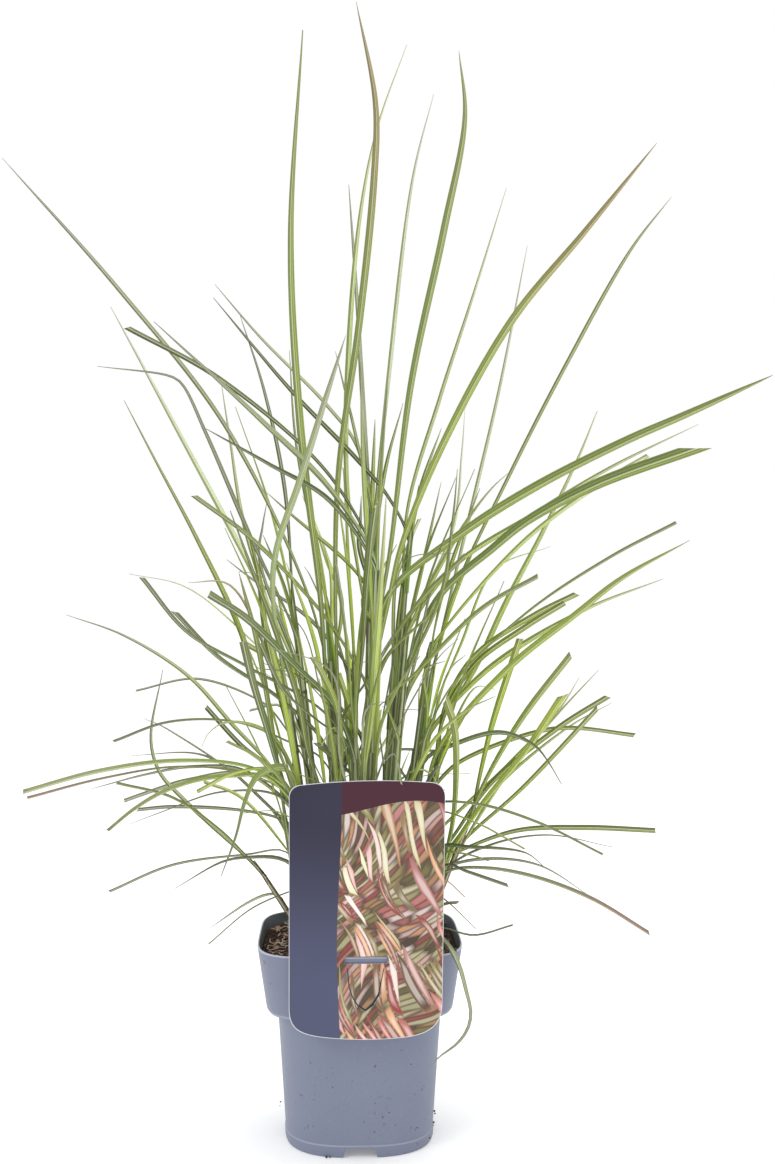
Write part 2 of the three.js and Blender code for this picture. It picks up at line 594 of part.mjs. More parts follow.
// A leafy stem: a slim sheathed stalk with its blades grown on it
function leafyStem(stem) {
  const stalk = [SOIL_TOP - SOCKET_DEPTH, LEAN_START];
  const rise = stem.top - LEAN_START;
  const joints = Math.max(1, Math.round(rise / 80));
  for (let i = 1; i <= joints; i++) {
    stalk.push(LEAN_START + (rise * i) / joints);
  }
  const rings = stalk.map((z) => {
    const p = onStem(stem, z);
    return disc(p.x, p.y, z, stemRadius(stem, z), STEM_SIDES);
  });
  rings.push([onStem(stem, stem.top + SHEATH_TIP)]);
  return stem.blades.reduce((grown, blade) => grown.add(bladeSolid(blade)), loft(rings));
}

function stemRadius(stem, z) {
  const part = Math.max(z - LEAN_START, 0) / (stem.top - LEAN_START);
  return THREE.MathUtils.lerp(STEM_RADIUS, 0.6 * STEM_RADIUS, part);
}

// The plain hole in the soil that a stem stands in
function stemSocket(stem) {
  const heights = [SOIL_TOP - SOCKET_DEPTH - FIT, LEAN_START - 0.1];
  return loft(heights.map((z) => disc(stem.x, stem.y, z, STEM_RADIUS + FIT, STEM_SIDES)));
}

// A solid as a mesh of the scene, without loose scraps and edges too short to matter
function mesh(name, body, material) {
  const whole = body.decompose().reduce((best, piece) => (piece.volume() > best.volume() ? piece : best));
  const { vertProperties, triVerts } = whole.simplify(FINEST).getMesh();
  const geometry = new THREE.BufferGeometry();
  geometry.setAttribute('position', new THREE.BufferAttribute(vertProperties, 3));
  geometry.setIndex(new THREE.BufferAttribute(triVerts, 1));
  geometry.computeVertexNormals();
  return named(name, geometry, material);
}

function named(name, geometry, material) {
  const piece = new THREE.Mesh(geometry, material);
  piece.name = name;
  return piece;
}

function matt(color, roughness) {
  return new THREE.MeshStandardMaterial({ color, roughness, metalness: 0 });
}

function growClump() {
  const spiral = Array.from({ length: STEM_COUNT }, (_, k) => ({ ...stemPlace(k), top: LEAN_START + 30 }));
  const stems = [...spiral, ...SIDE_SHOOTS].map((stem) => ({ ...stem, blades: [] }));
  const seen = BLADES.map((row) => seenBlade(stems, row));
  const sideways = BLADES.filter(([x, , , , , ...places]) => {
    const [tipX, tipZ] = places.at(-1);
    return Math.abs(tipX - x) > 60 && tipZ < TURNED_TOP && places[0].length === 2;
  });
  const turnedOnes = sideways.map((row, n) => turnedBlade(stems, row, n));
  stems.forEach((stem) => {
    if (!stem.lean) stem.top = Math.max(stem.top, ...stem.blades.map((blade) => blade.root.z + 2));
  });
  const hearts = stems.filter((stem) => !stem.lean).map(heartBlade);
  const beads = stems.flatMap(stemBeads);
  [...seen, ...hearts, ...turnedOnes].forEach((blade) => settle(blade, beads));
  // A blade of the last two kinds that finds no room isn't grown
  stems.forEach((stem) => {
    stem.blades = stem.blades.filter((blade) => seen.includes(blade) || blade.room > 0);
  });
  return stems.filter((stem) => stem.blades.length > 0);
}

const clump = growClump();
const plant = new THREE.Group();
plant.add(mesh('pot', pot(), matt(0x898da2, 0.55)));
plant.add(mesh('soil', soil(clump), matt(0x2d201c, 0.95)));
plant.add(named('label', label(), matt(0x565a7c, 0.35)));
clump.forEach((stem, k) => {
  const green = new THREE.Color().setHSL(0.24 + 0.02 * Math.sin(k * 2.1), 0.4, 0.42 + 0.06 * Math.sin(k * 1.3));
  plant.add(mesh(`stem_${String(k + 1).padStart(2, '0')}`, leafyStem(stem), matt(green, 0.6)));
});

// The origin: the middle of the whole plant's box, on the surface it stands on
const box = new THREE.Box3().setFromObject(plant, true);
const middle = box.getCenter(new THREE.Vector3());
plant.position.set(-middle.x, -middle.y, -box.min.z);
plant.updateMatrixWorld(true);

export default plant;
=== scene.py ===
"""A potted dwarf Chinese silver grass: leafy stems in a square nursery pot, with a plant label on its rim.
Metres, +Z up, the label at the front, -Y. Sizes written in millimetres are turned to metres by MM."""

import math

import bmesh
import bpy
import numpy as np
from mathutils import Matrix, Vector


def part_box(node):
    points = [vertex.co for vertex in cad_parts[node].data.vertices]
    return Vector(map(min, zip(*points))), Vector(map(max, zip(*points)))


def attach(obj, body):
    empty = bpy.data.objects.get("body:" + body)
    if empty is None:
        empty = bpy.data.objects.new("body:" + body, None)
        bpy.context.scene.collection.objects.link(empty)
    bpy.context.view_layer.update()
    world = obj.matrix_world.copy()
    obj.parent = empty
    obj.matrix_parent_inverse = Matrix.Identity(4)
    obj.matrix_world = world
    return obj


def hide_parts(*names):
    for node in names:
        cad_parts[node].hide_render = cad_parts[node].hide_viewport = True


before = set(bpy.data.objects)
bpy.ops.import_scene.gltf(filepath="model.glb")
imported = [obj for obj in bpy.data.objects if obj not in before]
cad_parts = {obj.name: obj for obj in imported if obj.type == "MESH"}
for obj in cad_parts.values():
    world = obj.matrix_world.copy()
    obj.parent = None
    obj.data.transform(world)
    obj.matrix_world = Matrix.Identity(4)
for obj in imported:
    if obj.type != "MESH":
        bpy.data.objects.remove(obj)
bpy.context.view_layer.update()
MM = 0.001

# The pot
# Blue-grey polypropylene, thermoformed in one: a foot ring with four notches, a tapering body with a rounded
# square section, and a wide collar with a thin rim. Matt outside, splashed with soil. The inner face is dull
# and painted dark as shade, and light lines painted along the rim's lip, the collar's foot and the foot ring
# are highlights.
RIM_WIDTH = 134
POT_HEIGHT = 133
WALL = 1.3
COLLAR_FOOT = 91
COLLAR_FOOT_WIDTH = 123.5
BODY_TOP = 88.5
BODY_TOP_WIDTH = 108
FOOT_WIDTH = 98
FOOT_HEIGHT = 7
NOTCH_HEIGHT = 6
NOTCH_WIDTH = 18
NOTCH_FLARE = 2.5
DRAIN_RADIUS = 4
DRAIN_FROM_AXIS = 30
POT_TURN = math.radians(2)
POT_SIDES = 176
SHARPEST_BEND = math.radians(28)

pot_low, pot_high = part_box("pot")
POT_AXIS = Vector(((pot_low.x + pot_high.x) / 2, (pot_low.y + pot_high.y) / 2, 0)) / MM
POT_PLACE = Matrix.Scale(MM, 4) @ Matrix.Translation(POT_AXIS)


def pot_radius(width, squareness, angle):
    """The radius of a rounded square that way. It gets rounder as squareness falls to 2."""
    bulge = abs(math.cos(angle)) ** squareness + abs(math.sin(angle)) ** squareness
    return width / 2 / bulge ** (1 / squareness)


def pot_ring(width, squareness, z):
    """Points round the pot's section at a height."""
    ring = []
    for i in range(POT_SIDES):
        angle = (i + 0.5) / POT_SIDES * 2 * math.pi
        radius = pot_radius(width, squareness, angle)
        ring.append((radius * math.cos(angle + POT_TURN), radius * math.sin(angle + POT_TURN), z))
    return ring


def lofted(name, rings, closed_first=True):
    """A mesh through rings of points, in millimetres round the pot's axis, with its ends closed."""
    sides, last = len(rings[0]), len(rings) - 1
    faces = []
    for start in range(0, last * sides, sides):
        for i in range(sides):
            j = (i + 1) % sides
            faces.append((start + i, start + j, start + sides + j, start + sides + i))
    if closed_first:
        faces.append(tuple(reversed(range(sides))))
    faces.append(tuple(range(last * sides, (last + 1) * sides)))
    mesh = bpy.data.meshes.new(name)
    mesh.from_pydata([POT_PLACE @ Vector(p) for ring in rings for p in ring], [], faces)
    return mesh


def mesh_from(work, name):
    mesh = bpy.data.meshes.new(name)
    work.to_mesh(mesh)
    work.free()
    return mesh


def outward(mesh):
    """Turns all faces of a closed mesh outwards."""
    work = bmesh.new()
    work.from_mesh(mesh)
    bmesh.ops.recalc_face_normals(work, faces=work.faces)
    work.to_mesh(mesh)
    work.free()


def store(mesh, fact, kind, part, values):
    """Gives each point of the mesh its value of that fact."""
    mesh.attributes.new(fact, kind, "POINT").data.foreach_set(part, np.ravel(values))


def added(name, data):
    piece = bpy.data.objects.new(name, data)
    bpy.context.scene.collection.objects.link(piece)
    return piece


def evaluated(piece):
    """A plain mesh of what the piece's modifiers or its curve make."""
    bpy.context.view_layer.update()
    return bpy.data.meshes.new_from_object(piece.evaluated_get(bpy.context.evaluated_depsgraph_get()))


def finished(piece):
    """The piece with its modifiers taken up into its mesh."""
    mesh = evaluated(piece)
    piece.modifiers.clear()
    piece.data = mesh
    return piece


def srgb(*colour):
    """A colour as seen on a screen, 0 to 255, in linear light."""
    return (*(c / 255 / 12.92 if c <= 10 else ((c / 255 + 0.055) / 1.055) ** 2.4 for c in colour), 1)


class Nodes:
    """A node tree, built up node by node."""

    prefix = "ShaderNode"

    def node(self, kind, values=(), **settings):
        made = self.tree.nodes.new(kind if "Node" in kind else self.prefix + kind)
        for key, value in settings.items():
            setattr(made, key, value)
        for key, value in dict(values).items():
            self.feed(made.inputs[key], value)
        return made

    def feed(self, socket, value):
        if isinstance(value, bpy.types.NodeSocket):
            self.tree.links.new(value, socket)
        else:
            socket.default_value = value

    def out(self, kind, values=(), **settings):
        """The first output of a new node."""
        return self.node(kind, values, **settings).outputs[0]

    def sum(self, operation, first, second=0.0, third=0.0):
        return self.out("ShaderNodeMath", {0: first, 1: second, 2: third}, operation=operation)

    def times(self, product, *factors):
        for factor in factors:
            product = self.sum("MULTIPLY", product, factor)
        return product

    def joined(self, first, second, operation="ADD"):
        return self.out("ShaderNodeVectorMath", {0: first, 1: second}, operation=operation)

    def scaled(self, vector, length):
        return self.out("ShaderNodeVectorMath", {0: vector, "Scale": length}, operation="SCALE")


class Finish(Nodes):
    """A node material. Its colours are given as seen on a screen, 0 to 255."""

    def __init__(self, name):
        self.material = bpy.data.materials.new(name)
        self.material.use_nodes = True
        self.tree = self.material.node_tree
        self.shader = self.tree.nodes["Principled BSDF"]

    def place(self):
        return self.node("TexCoord").outputs["Object"]

    def height(self):
        return self.node("SeparateXYZ", {0: self.place()}).outputs[2]

    def attribute(self, name, output="Fac"):
        return self.node("Attribute", attribute_name=name).outputs[output]

    def stretched(self, vector, *scale):
        return self.out("Mapping", {"Vector": vector, "Scale": scale})

    def noise(self, vector, scale, detail=3.0, roughness=0.55, output="Fac"):
        values = {"Vector": vector, "Scale": scale, "Detail": detail, "Roughness": roughness}
        return self.node("TexNoise", values).outputs[output]

    def cells(self, vector, scale):
        """The distance from the middle of a round cell, and the cell's three random numbers."""
        made = self.node("TexVoronoi", {"Vector": vector, "Scale": scale})
        return made.outputs["Distance"], self.node("SeparateColor", {0: made.outputs["Color"]}).outputs

    def between(self, value, low, high):
        """0 below low, 1 above high, smooth in between."""
        values = {"Value": value, "From Min": low, "From Max": high}
        return self.out("MapRange", values, interpolation_type="SMOOTHSTEP")

    def mix(self, share, *colours, blend="MIX"):
        first, second = (srgb(*colour) if isinstance(colour, tuple) else colour for colour in colours)
        made = self.node("Mix", {0: share, 6: first, 7: second}, data_type="RGBA", blend_type=blend)
        return made.outputs[2]

    def coated(self, under, *coats):
        """The colour under it with each coat laid on: where it lies, how thick it is, and its colour."""
        for share, amount, colour in coats:
            under = self.mix(self.times(share, amount), under, colour)
        return under

    def bump(self, height, distance, strength=1.0):
        values = {"Height": height, "Distance": distance, "Strength": strength}
        self.feed(self.shader.inputs["Normal"], self.out("Bump", values))

    def done(self, colour, roughness, shine=0.5, **others):
        values = dict(Base_Color=colour, Roughness=roughness, Specular_IOR_Level=shine, **others)
        for name, value in values.items():
            self.feed(self.shader.inputs[name.replace("_", " ")], value)
        return self.material


# The wall's two sides, ring by ring from the floor to the rim: width, squareness, height
INSIDE = [
    (FOOT_WIDTH - 2 * WALL, 2.7, FOOT_HEIGHT + WALL),
    (BODY_TOP_WIDTH - 2 * WALL, 3.6, BODY_TOP + WALL),
    (COLLAR_FOOT_WIDTH - 2 * WALL, 4.3, COLLAR_FOOT + 4.5),
    (RIM_WIDTH - 2 * WALL, 4.7, POT_HEIGHT - 0.5),
]
OUTSIDE = [
    (FOOT_WIDTH - 8, 2.6, FOOT_HEIGHT),
    (FOOT_WIDTH - 7.4, 2.6, 0.5),
    (FOOT_WIDTH - 6.6, 2.6, 0),
    (FOOT_WIDTH - 1.6, 2.6, 0),
    (FOOT_WIDTH - 0.4, 2.6, 0.5),
    (FOOT_WIDTH + 0.6, 2.6, 1.8),
    (FOOT_WIDTH + 1.2, 2.7, FOOT_HEIGHT - 0.6),
    (FOOT_WIDTH + 1.0, 2.7, FOOT_HEIGHT + 0.5),
    (FOOT_WIDTH + 0.2, 2.7, FOOT_HEIGHT + 1.1),
    (FOOT_WIDTH + 0.4, 2.7, FOOT_HEIGHT + 1.9),
    (BODY_TOP_WIDTH, 3.6, BODY_TOP - 0.6),
    (BODY_TOP_WIDTH + 0.8, 3.6, BODY_TOP + 0.2),
    (COLLAR_FOOT_WIDTH - 6, 4, COLLAR_FOOT - 1),
    (COLLAR_FOOT_WIDTH - 2.4, 4.1, COLLAR_FOOT - 0.2),
    (COLLAR_FOOT_WIDTH - 0.9, 4.2, COLLAR_FOOT + 1.2),
    (COLLAR_FOOT_WIDTH - 0.1, 4.3, COLLAR_FOOT + 4),
    (RIM_WIDTH - 0.1, 4.7, POT_HEIGHT - 1),
    (RIM_WIDTH - 0.3, 4.7, POT_HEIGHT - 0.3),
    (RIM_WIDTH - 0.9, 4.7, POT_HEIGHT),
    (RIM_WIDTH - 2 * WALL + 0.6, 4.7, POT_HEIGHT),
]
pot = added("nursery_pot", lofted("nursery_pot", [pot_ring(*ring) for ring in OUTSIDE + INSIDE[::-1]]))
outward(pot.data)
cutters = []


def cut_from_pot(name, work, quarter):
    """Cuts a shape out of the pot, turned to one of its four sides."""
    work.transform(POT_PLACE @ Matrix.Rotation(quarter * math.pi / 2 + POT_TURN, 4, "Z"))
    mesh = mesh_from(work, name)
    outward(mesh)
    cutters.append(added(name, mesh))
    cut = pot.modifiers.new(name, "BOOLEAN")
    cut.operation, cut.solver, cut.object = "DIFFERENCE", "EXACT", cutters[-1]


for quarter in range(4):
    if quarter < 2:
        channel = bmesh.new()
        low, high = NOTCH_WIDTH / 2 + NOTCH_FLARE, NOTCH_WIDTH / 2
        section = [(-low, -1), (low, -1), (high, NOTCH_HEIGHT), (-high, NOTCH_HEIGHT)]
        one, other = ([channel.verts.new((x, y, z)) for y, z in section] for x in (-RIM_WIDTH, RIM_WIDTH))
        for i in range(4):
            channel.faces.new((one[i], one[(i + 1) % 4], other[(i + 1) % 4], other[i]))
        channel.faces.new(one)
        channel.faces.new(other)
        cut_from_pot("notch", channel, quarter)
    drain = bmesh.new()
    bmesh.ops.create_cone(
        drain, cap_ends=True, segments=32, radius1=DRAIN_RADIUS, radius2=DRAIN_RADIUS, depth=8,
        matrix=Matrix.Translation((0, -DRAIN_FROM_AXIS, FOOT_HEIGHT)),
    )
    cut_from_pot("drain", drain, quarter)
finished(pot)
for tool in cutters:
    bpy.data.objects.remove(tool)

# What lies within the wall is the inner face, which is painted dark as shade
inner_widths, _, inner_heights = zip(*INSIDE)
inner = []
for vertex in pot.data.vertices:
    x, y, z = vertex.co / MM - POT_AXIS
    squareness = np.interp(z, [FOOT_HEIGHT, POT_HEIGHT], [2.7, 4.7])
    wall = pot_radius(np.interp(z, inner_heights, inner_widths), squareness, math.atan2(y, x) - POT_TURN)
    inner.append(float(math.hypot(x, y) < wall + 0.3 and FOOT_HEIGHT + 1 < z < POT_HEIGHT - 0.2))
store(pot.data, "inner", "FLOAT", "value", inner)
pot.data.shade_smooth()
pot.data.set_sharp_from_angle(angle=SHARPEST_BEND)

plastic = Finish("pot_plastic")
at, height = plastic.place(), plastic.height()
clouds = plastic.noise(at, 18.0, 4.0)
fine = plastic.between(plastic.noise(at, 620.0, 2.0), 0.35, 0.75)
on_collar = plastic.between(height, COLLAR_FOOT * MM - 0.001, COLLAR_FOOT * MM + 0.003)
# Painted highlights: light lines along the rim's lip, the collar's foot and the top of the foot ring
rim_highlight = plastic.between(height, (POT_HEIGHT - 1.1) * MM, (POT_HEIGHT - 0.5) * MM)
collar_foot_highlight = plastic.sum("COMPARE", height, (COLLAR_FOOT + 1.0) * MM, 0.0009)
foot_ring_highlight = plastic.sum("COMPARE", height, (FOOT_HEIGHT + 0.8) * MM, 0.0005)
scuffs = plastic.between(plastic.noise(at, 260.0, 3.0), 0.6, 0.8)
dust = plastic.between(plastic.noise(at, 60.0, 5.0, 0.7), 0.56, 0.78)
dusty_foot = plastic.times(plastic.between(height, 0.07, 0.0), 0.35)
apart, numbers = plastic.cells(at, 330.0)
specks = plastic.times(
    plastic.sum("LESS_THAN", apart, plastic.times(numbers[0], 0.3)),
    plastic.sum("GREATER_THAN", numbers[1], 0.955), plastic.between(plastic.noise(at, 26.0), 0.42, 0.56),
)
apart, numbers = plastic.cells(at, 900.0)
grit = plastic.times(
    plastic.sum("LESS_THAN", apart, 0.24), plastic.sum("GREATER_THAN", numbers[1], 0.93),
    plastic.between(height, 0.1, 0.03),
)
blots = plastic.times(
    plastic.between(plastic.noise(at, 240.0, 5.0, 0.65), 0.62, 0.67),
    plastic.between(plastic.noise(at, 30.0), 0.46, 0.58), plastic.between(height, 0.09, 0.03),
)
# The light lines at the collar's foot, the foot ring and the rim are painted highlights; specks, grit and
# blots are soil
outside = plastic.coated(
    plastic.mix(clouds, (111, 118, 138), (123, 129, 149)),
    (fine, 0.16, (100, 106, 126)), (on_collar, 0.3, (104, 109, 128)),
    (plastic.sum("ADD", collar_foot_highlight, foot_ring_highlight), 0.4, (168, 173, 188)), (rim_highlight, 0.6, (196, 200, 212)),
    (scuffs, 0.12, (158, 162, 178)), (dust, dusty_foot, (120, 116, 122)), (specks, 0.7, (78, 74, 80)),
    (grit, 0.45, (74, 74, 86)), (blots, 0.6, (80, 80, 94)),
)
# Painted shade: the inner face gets a dark grey, the same plastic as outside but in shadow
shaded_inner_face = plastic.mix(clouds, (58, 62, 66), (72, 76, 82))
plastic.bump(plastic.noise(at, 900.0, 2.0), 0.00015, 0.5)
faces = plastic.mix(plastic.attribute("inner"), outside, shaded_inner_face)
pot.data.materials.clear()
pot.data.materials.append(plastic.done(faces, plastic.sum("MULTIPLY_ADD", clouds, 0.16, 0.4), 0.45))
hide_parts("pot")
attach(pot, "root")

# The soil
# Dark peat compost with coir fibres and chips of bark. It fills the pot to just under the rim and is lumpy on
# top, higher in the middle, where the clump's crown heaves it up.
SOIL_TOP = 126
FIT = 0.35
EDGE_WIDTH = 130.2
EDGE_DROP = 2.4
SOIL_STEPS = 45
CROWN_HEAVE = 1.6
LUMP_HEIGHT = 0.62
SETTLING = 0.8
LUMP_WAVES = 14
soil_draws = np.random.default_rng(11)
lump_phases = soil_draws.uniform(0, 2 * math.pi, (LUMP_WAVES, 3))[:, 0]
lump_ways = soil_draws.normal(0, 1, (LUMP_WAVES, 2))


def soil_height(x, y):
    rise = 0
    for k, (phase, way) in enumerate(zip(lump_phases, lump_ways)):
        rise += math.sin((0.08 + 0.045 * k) * (way[0] * x + way[1] * y) + phase) / (1.3 + 0.35 * k)
    edge = max(abs(x), abs(y)) / (EDGE_WIDTH / 2)
    lumps = LUMP_HEIGHT * rise * min(1, 4 * (1 - edge) + 0.25)
    return SOIL_TOP + CROWN_HEAVE * (1 - edge ** 3) + lumps - SETTLING


def soil_ring(width, squareness):
    return [(x, y, soil_height(x, y)) for x, y, _ in pot_ring(width, squareness, 0)]


soil_rings = [pot_ring(width - 2 * FIT, squareness, z + FIT) for width, squareness, z in INSIDE[:3]]
soil_rings.append(pot_ring(EDGE_WIDTH - 2 * FIT, 4.6, SOIL_TOP - EDGE_DROP))
for step in range(1, SOIL_STEPS + 1):
    share = 1 - step / (SOIL_STEPS + 0.5)
    soil_rings.append(soil_ring((EDGE_WIDTH - 2 * FIT) * share, 2.2 + 2.4 * share))
soil = added("potting_soil", lofted("potting_soil", soil_rings))
outward(soil.data)
soil.data.shade_smooth()

compost = Finish("compost")
at = compost.place()
earth = compost.mix(compost.noise(at, 260.0, 6.0, 0.7), (26, 18, 15), (78, 58, 48))
fibre_band = compost.between(compost.noise(compost.stretched(at, 1.0, 6.0, 1.0), 150.0, 3.0), 0.63, 0.7)
earth = compost.coated(earth, (fibre_band, 0.55, (128, 98, 78)))
compost.bump(compost.noise(at, 420.0, 5.0, 0.7), 0.0012)
soil.data.materials.append(compost.done(earth, 0.95, 0.2))
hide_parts("soil")
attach(soil, "root")

# Loose soil
# Crumbs of peat, chips of pine bark and pale root fibres that lie on the compost, and a few crumbs that stick
# to the pot's side and foot. They came there by potting and watering.


class Growth(Nodes):
    """A geometry tree with named inputs."""

    prefix = "GeometryNode"

    def __init__(self, name, inputs):
        self.tree = bpy.data.node_groups.new(name, "GeometryNodeTree")
        self.inputs = inputs
        self.keys = {}
        self.socket("Geometry", "Geometry")
        for label, value in inputs.items():
            kind = {int: "Int", float: "Float"}.get(type(value), "Material")
            self.keys[label] = self.socket(label, kind).identifier
        self.socket("Geometry", "Geometry", "OUTPUT")
        self.given = self.tree.nodes.new("NodeGroupInput").outputs

    def socket(self, label, kind, side="INPUT"):
        return self.tree.interface.new_socket(label, in_out=side, socket_type="NodeSocket" + kind)

    def kept(self, name, kind="FLOAT"):
        return self.node("InputNamedAttribute", {"Name": name}, data_type=kind).outputs["Attribute"]

    def end(self, geometry):
        """The tree's last nodes: nothing stays an instance, and all gets the material."""
        whole = self.out("RealizeInstances", {"Geometry": geometry})
        dressed = self.out("SetMaterial", {"Geometry": whole, "Material": self.given["Material"]})
        self.tree.links.new(dressed, self.tree.nodes.new("NodeGroupOutput").inputs[0])

    def grown_on(self, piece, **values):
        """The piece after this tree, as a plain mesh."""
        modifier = piece.modifiers.new("growth", "NODES")
        modifier.node_group = self.tree
        for label, value in self.inputs.items():
            modifier[self.keys[label]] = values.get(label.replace(" ", "_"), value)
        return finished(piece)


def scatter_tree(name, shape):
    """Copies of a small shape, strewn over the upward faces of a piece."""
    tree = Growth(name, {
        "Density": 1000.0, "Length": 0.003, "Width": 0.002, "Thickness": 0.001, "Seed": 1, "Material": None,
    })
    given = tree.given
    normal = tree.out("InputNormal")
    upward = tree.node("ShaderNodeSeparateXYZ", {0: normal}).outputs[2]
    points = tree.out("DistributePointsOnFaces", {
        "Mesh": given["Geometry"], "Selection": tree.sum("GREATER_THAN", upward, 0.6),
        "Density": given["Density"], "Seed": given["Seed"],
    })
    if shape == "crumb":
        form = tree.out("MeshIcoSphere", {"Radius": 0.5, "Subdivisions": 2})
        bumps = tree.out("ShaderNodeTexNoise", {"Scale": 2.4})
        dents = tree.scaled(normal, tree.sum("MULTIPLY_ADD", bumps, 0.5, -0.25))
        tilt = (math.pi, math.pi, math.pi)
    else:
        form = tree.out("MeshCube", {"Size": (1, 1, 1), 1: 4, 2: 3, 3: 2})
        bumps = tree.node("ShaderNodeTexNoise", {"Scale": 1.7}).outputs[1]
        dents = tree.scaled(tree.joined(bumps, (0.5, 0.5, 0.5), "SUBTRACT"), 0.6)
        tilt = (0.5, 0.5, math.pi)
    form = tree.out("SetPosition", {"Geometry": form, "Offset": dents})
    turns = {0: tuple(-angle for angle in tilt), 1: tilt, "Seed": given["Seed"]}
    sizes = {2: 0.35, 3: 1.0, "Seed": given["Seed"]}
    size = tree.node("FunctionNodeRandomValue", sizes, data_type="FLOAT").outputs[1]
    whole = tree.out("ShaderNodeCombineXYZ", {0: given["Length"], 1: given["Width"], 2: given["Thickness"]})
    tree.end(tree.out("InstanceOnPoints", {
        "Points": points, "Instance": form, "Scale": tree.scaled(whole, size),
        "Rotation": tree.out("FunctionNodeRandomValue", turns, data_type="FLOAT_VECTOR"),
    }))
    return tree


def like_soil(name, mesh):
    piece = added(name, mesh)
    return piece


crumb = Finish("peat_crumb")
at = crumb.place()
crumb.bump(crumb.noise(at, 900.0, 4.0, 0.7), 0.0006)
peat = crumb.done(crumb.mix(crumb.noise(at, 190.0, 3.0), (30, 21, 17), (84, 62, 50)), 0.95, 0.2)
bark = Finish("pine_bark")
at = bark.place()
bark.bump(bark.noise(bark.stretched(at, 1.0, 1.0, 7.0), 260.0, 3.0), 0.0004)
pine = bark.done(bark.mix(bark.noise(at, 95.0), (98, 66, 50), (196, 156, 128)), 0.85)
BED_STEPS = 24
BED_MARGIN = 5
soil_bed = [
    soil_ring((EDGE_WIDTH - BED_MARGIN) * (1 - step / (BED_STEPS + 0.5)), 4.0) for step in range(BED_STEPS)
]
crumb_tree = scatter_tree("crumb_scatter", "crumb")
chip_tree = scatter_tree("chip_scatter", "chip")
STREWN = [  # name, tree, material, how many to the square metre, length, width, thickness, seed
    ("peat_crumbs_fine", crumb_tree, peat, 90000.0, 0.0026, 0.002, 0.0017, 3),
    ("peat_crumbs_coarse", crumb_tree, peat, 9000.0, 0.0062, 0.005, 0.004, 8),
    ("bark_chips", chip_tree, pine, 4200.0, 0.0105, 0.0042, 0.0017, 5),
]
for name, tree, material, density, length, width, thickness, seed in STREWN:
    strewn = tree.grown_on(
        like_soil(name, lofted(name, soil_bed, closed_first=False)), Material=material, Density=density,
        Length=length, Width=width, Thickness=thickness, Seed=seed,
    )
    outward(strewn.data)
    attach(strewn, "root")


def thread_tree():
    """A round thread along each line of edges, with the radius that its points carry."""
    tree = Growth("thread", {"Sides": 6, "Material": None})
    line = tree.out("MeshToCurve", {"Mesh": tree.given["Geometry"]})
    ring = tree.out("CurvePrimitiveCircle", {"Resolution": tree.given["Sides"], "Radius": 1.0})
    values = {"Curve": line, "Profile Curve": ring, "Scale": tree.kept("girth"), "Fill Caps": True}
    tree.end(tree.out("CurveToMesh", values))
    return tree


def lines_mesh(name, lines):
    """One line of edges through each row of points, in metres."""
    mesh = bpy.data.meshes.new(name)
    corners, edges = [], []
    for line in lines:
        edges += [(len(corners) + i, len(corners) + i + 1) for i in range(len(line) - 1)]
        corners += [tuple(p) for p in line]
    mesh.from_pydata(corners, edges, [])
    return mesh


ROOT_COUNT = 170
ROOT_STEP = 2.1
ROOTS_REACH = 60
roots = []
for k in range(ROOT_COUNT):
    x, y = soil_draws.uniform(2 - ROOTS_REACH, ROOTS_REACH - 2, 2)
    heading = soil_draws.uniform(0, 2 * math.pi)
    root = []
    for step in range(int(soil_draws.integers(7, 16))):
        z = soil_height(x, y) + 0.5 + 1.5 * abs(math.sin(step * 0.7 + k))
        root.append(POT_PLACE @ Vector((x, y, z)))
        heading += soil_draws.normal(0, 0.45)
        x = min(max(x + ROOT_STEP * math.cos(heading), -ROOTS_REACH), ROOTS_REACH)
        y = min(max(y + ROOT_STEP * math.sin(heading), -ROOTS_REACH), ROOTS_REACH)
    roots.append(root)
# A darker tuft by the rim on the right. Most of its hairs stay 1 to 3 mm clear of the soil and the pot.
TUFT_LEVEL = 128.5
TUFT_COUNT = 16
for k in range(TUFT_COUNT):
    x, y, z = 58 + soil_draws.uniform(-2, 2), -45 + soil_draws.uniform(-7, 6), 129.0
    root = []
    for step in range(9):
        root.append(POT_PLACE @ Vector((x, y, z)))
        x += soil_draws.uniform(-0.4, 0.9)
        y += soil_draws.uniform(-1.5, 1.0)
        z += 1.0 - 0.17 * step + soil_draws.uniform(-0.4, 0.5)
    roots.append(root)
ROOT_RADIUS, TUFT_RADIUS = 0.00038, 0.0004
fibres = like_soil("root_fibres", lines_mesh("root_fibres", roots))
girths = [TUFT_RADIUS if vertex.co.z > TUFT_LEVEL * MM else ROOT_RADIUS for vertex in fibres.data.vertices]
store(fibres.data, "girth", "FLOAT", "value", girths)
hair = Finish("root_fibre")
tawny = hair.mix(hair.noise(hair.place(), 120.0), (140, 118, 104), (206, 190, 176))
in_tuft = hair.between(hair.height(), (TUFT_LEVEL - 1) * MM, TUFT_LEVEL * MM)
root_finish = hair.done(hair.mix(in_tuft, tawny, (84, 66, 58)), 0.8)
thread_tree().grown_on(fibres, Sides=5, Material=root_finish)
outward(fibres.data)
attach(fibres, "root")

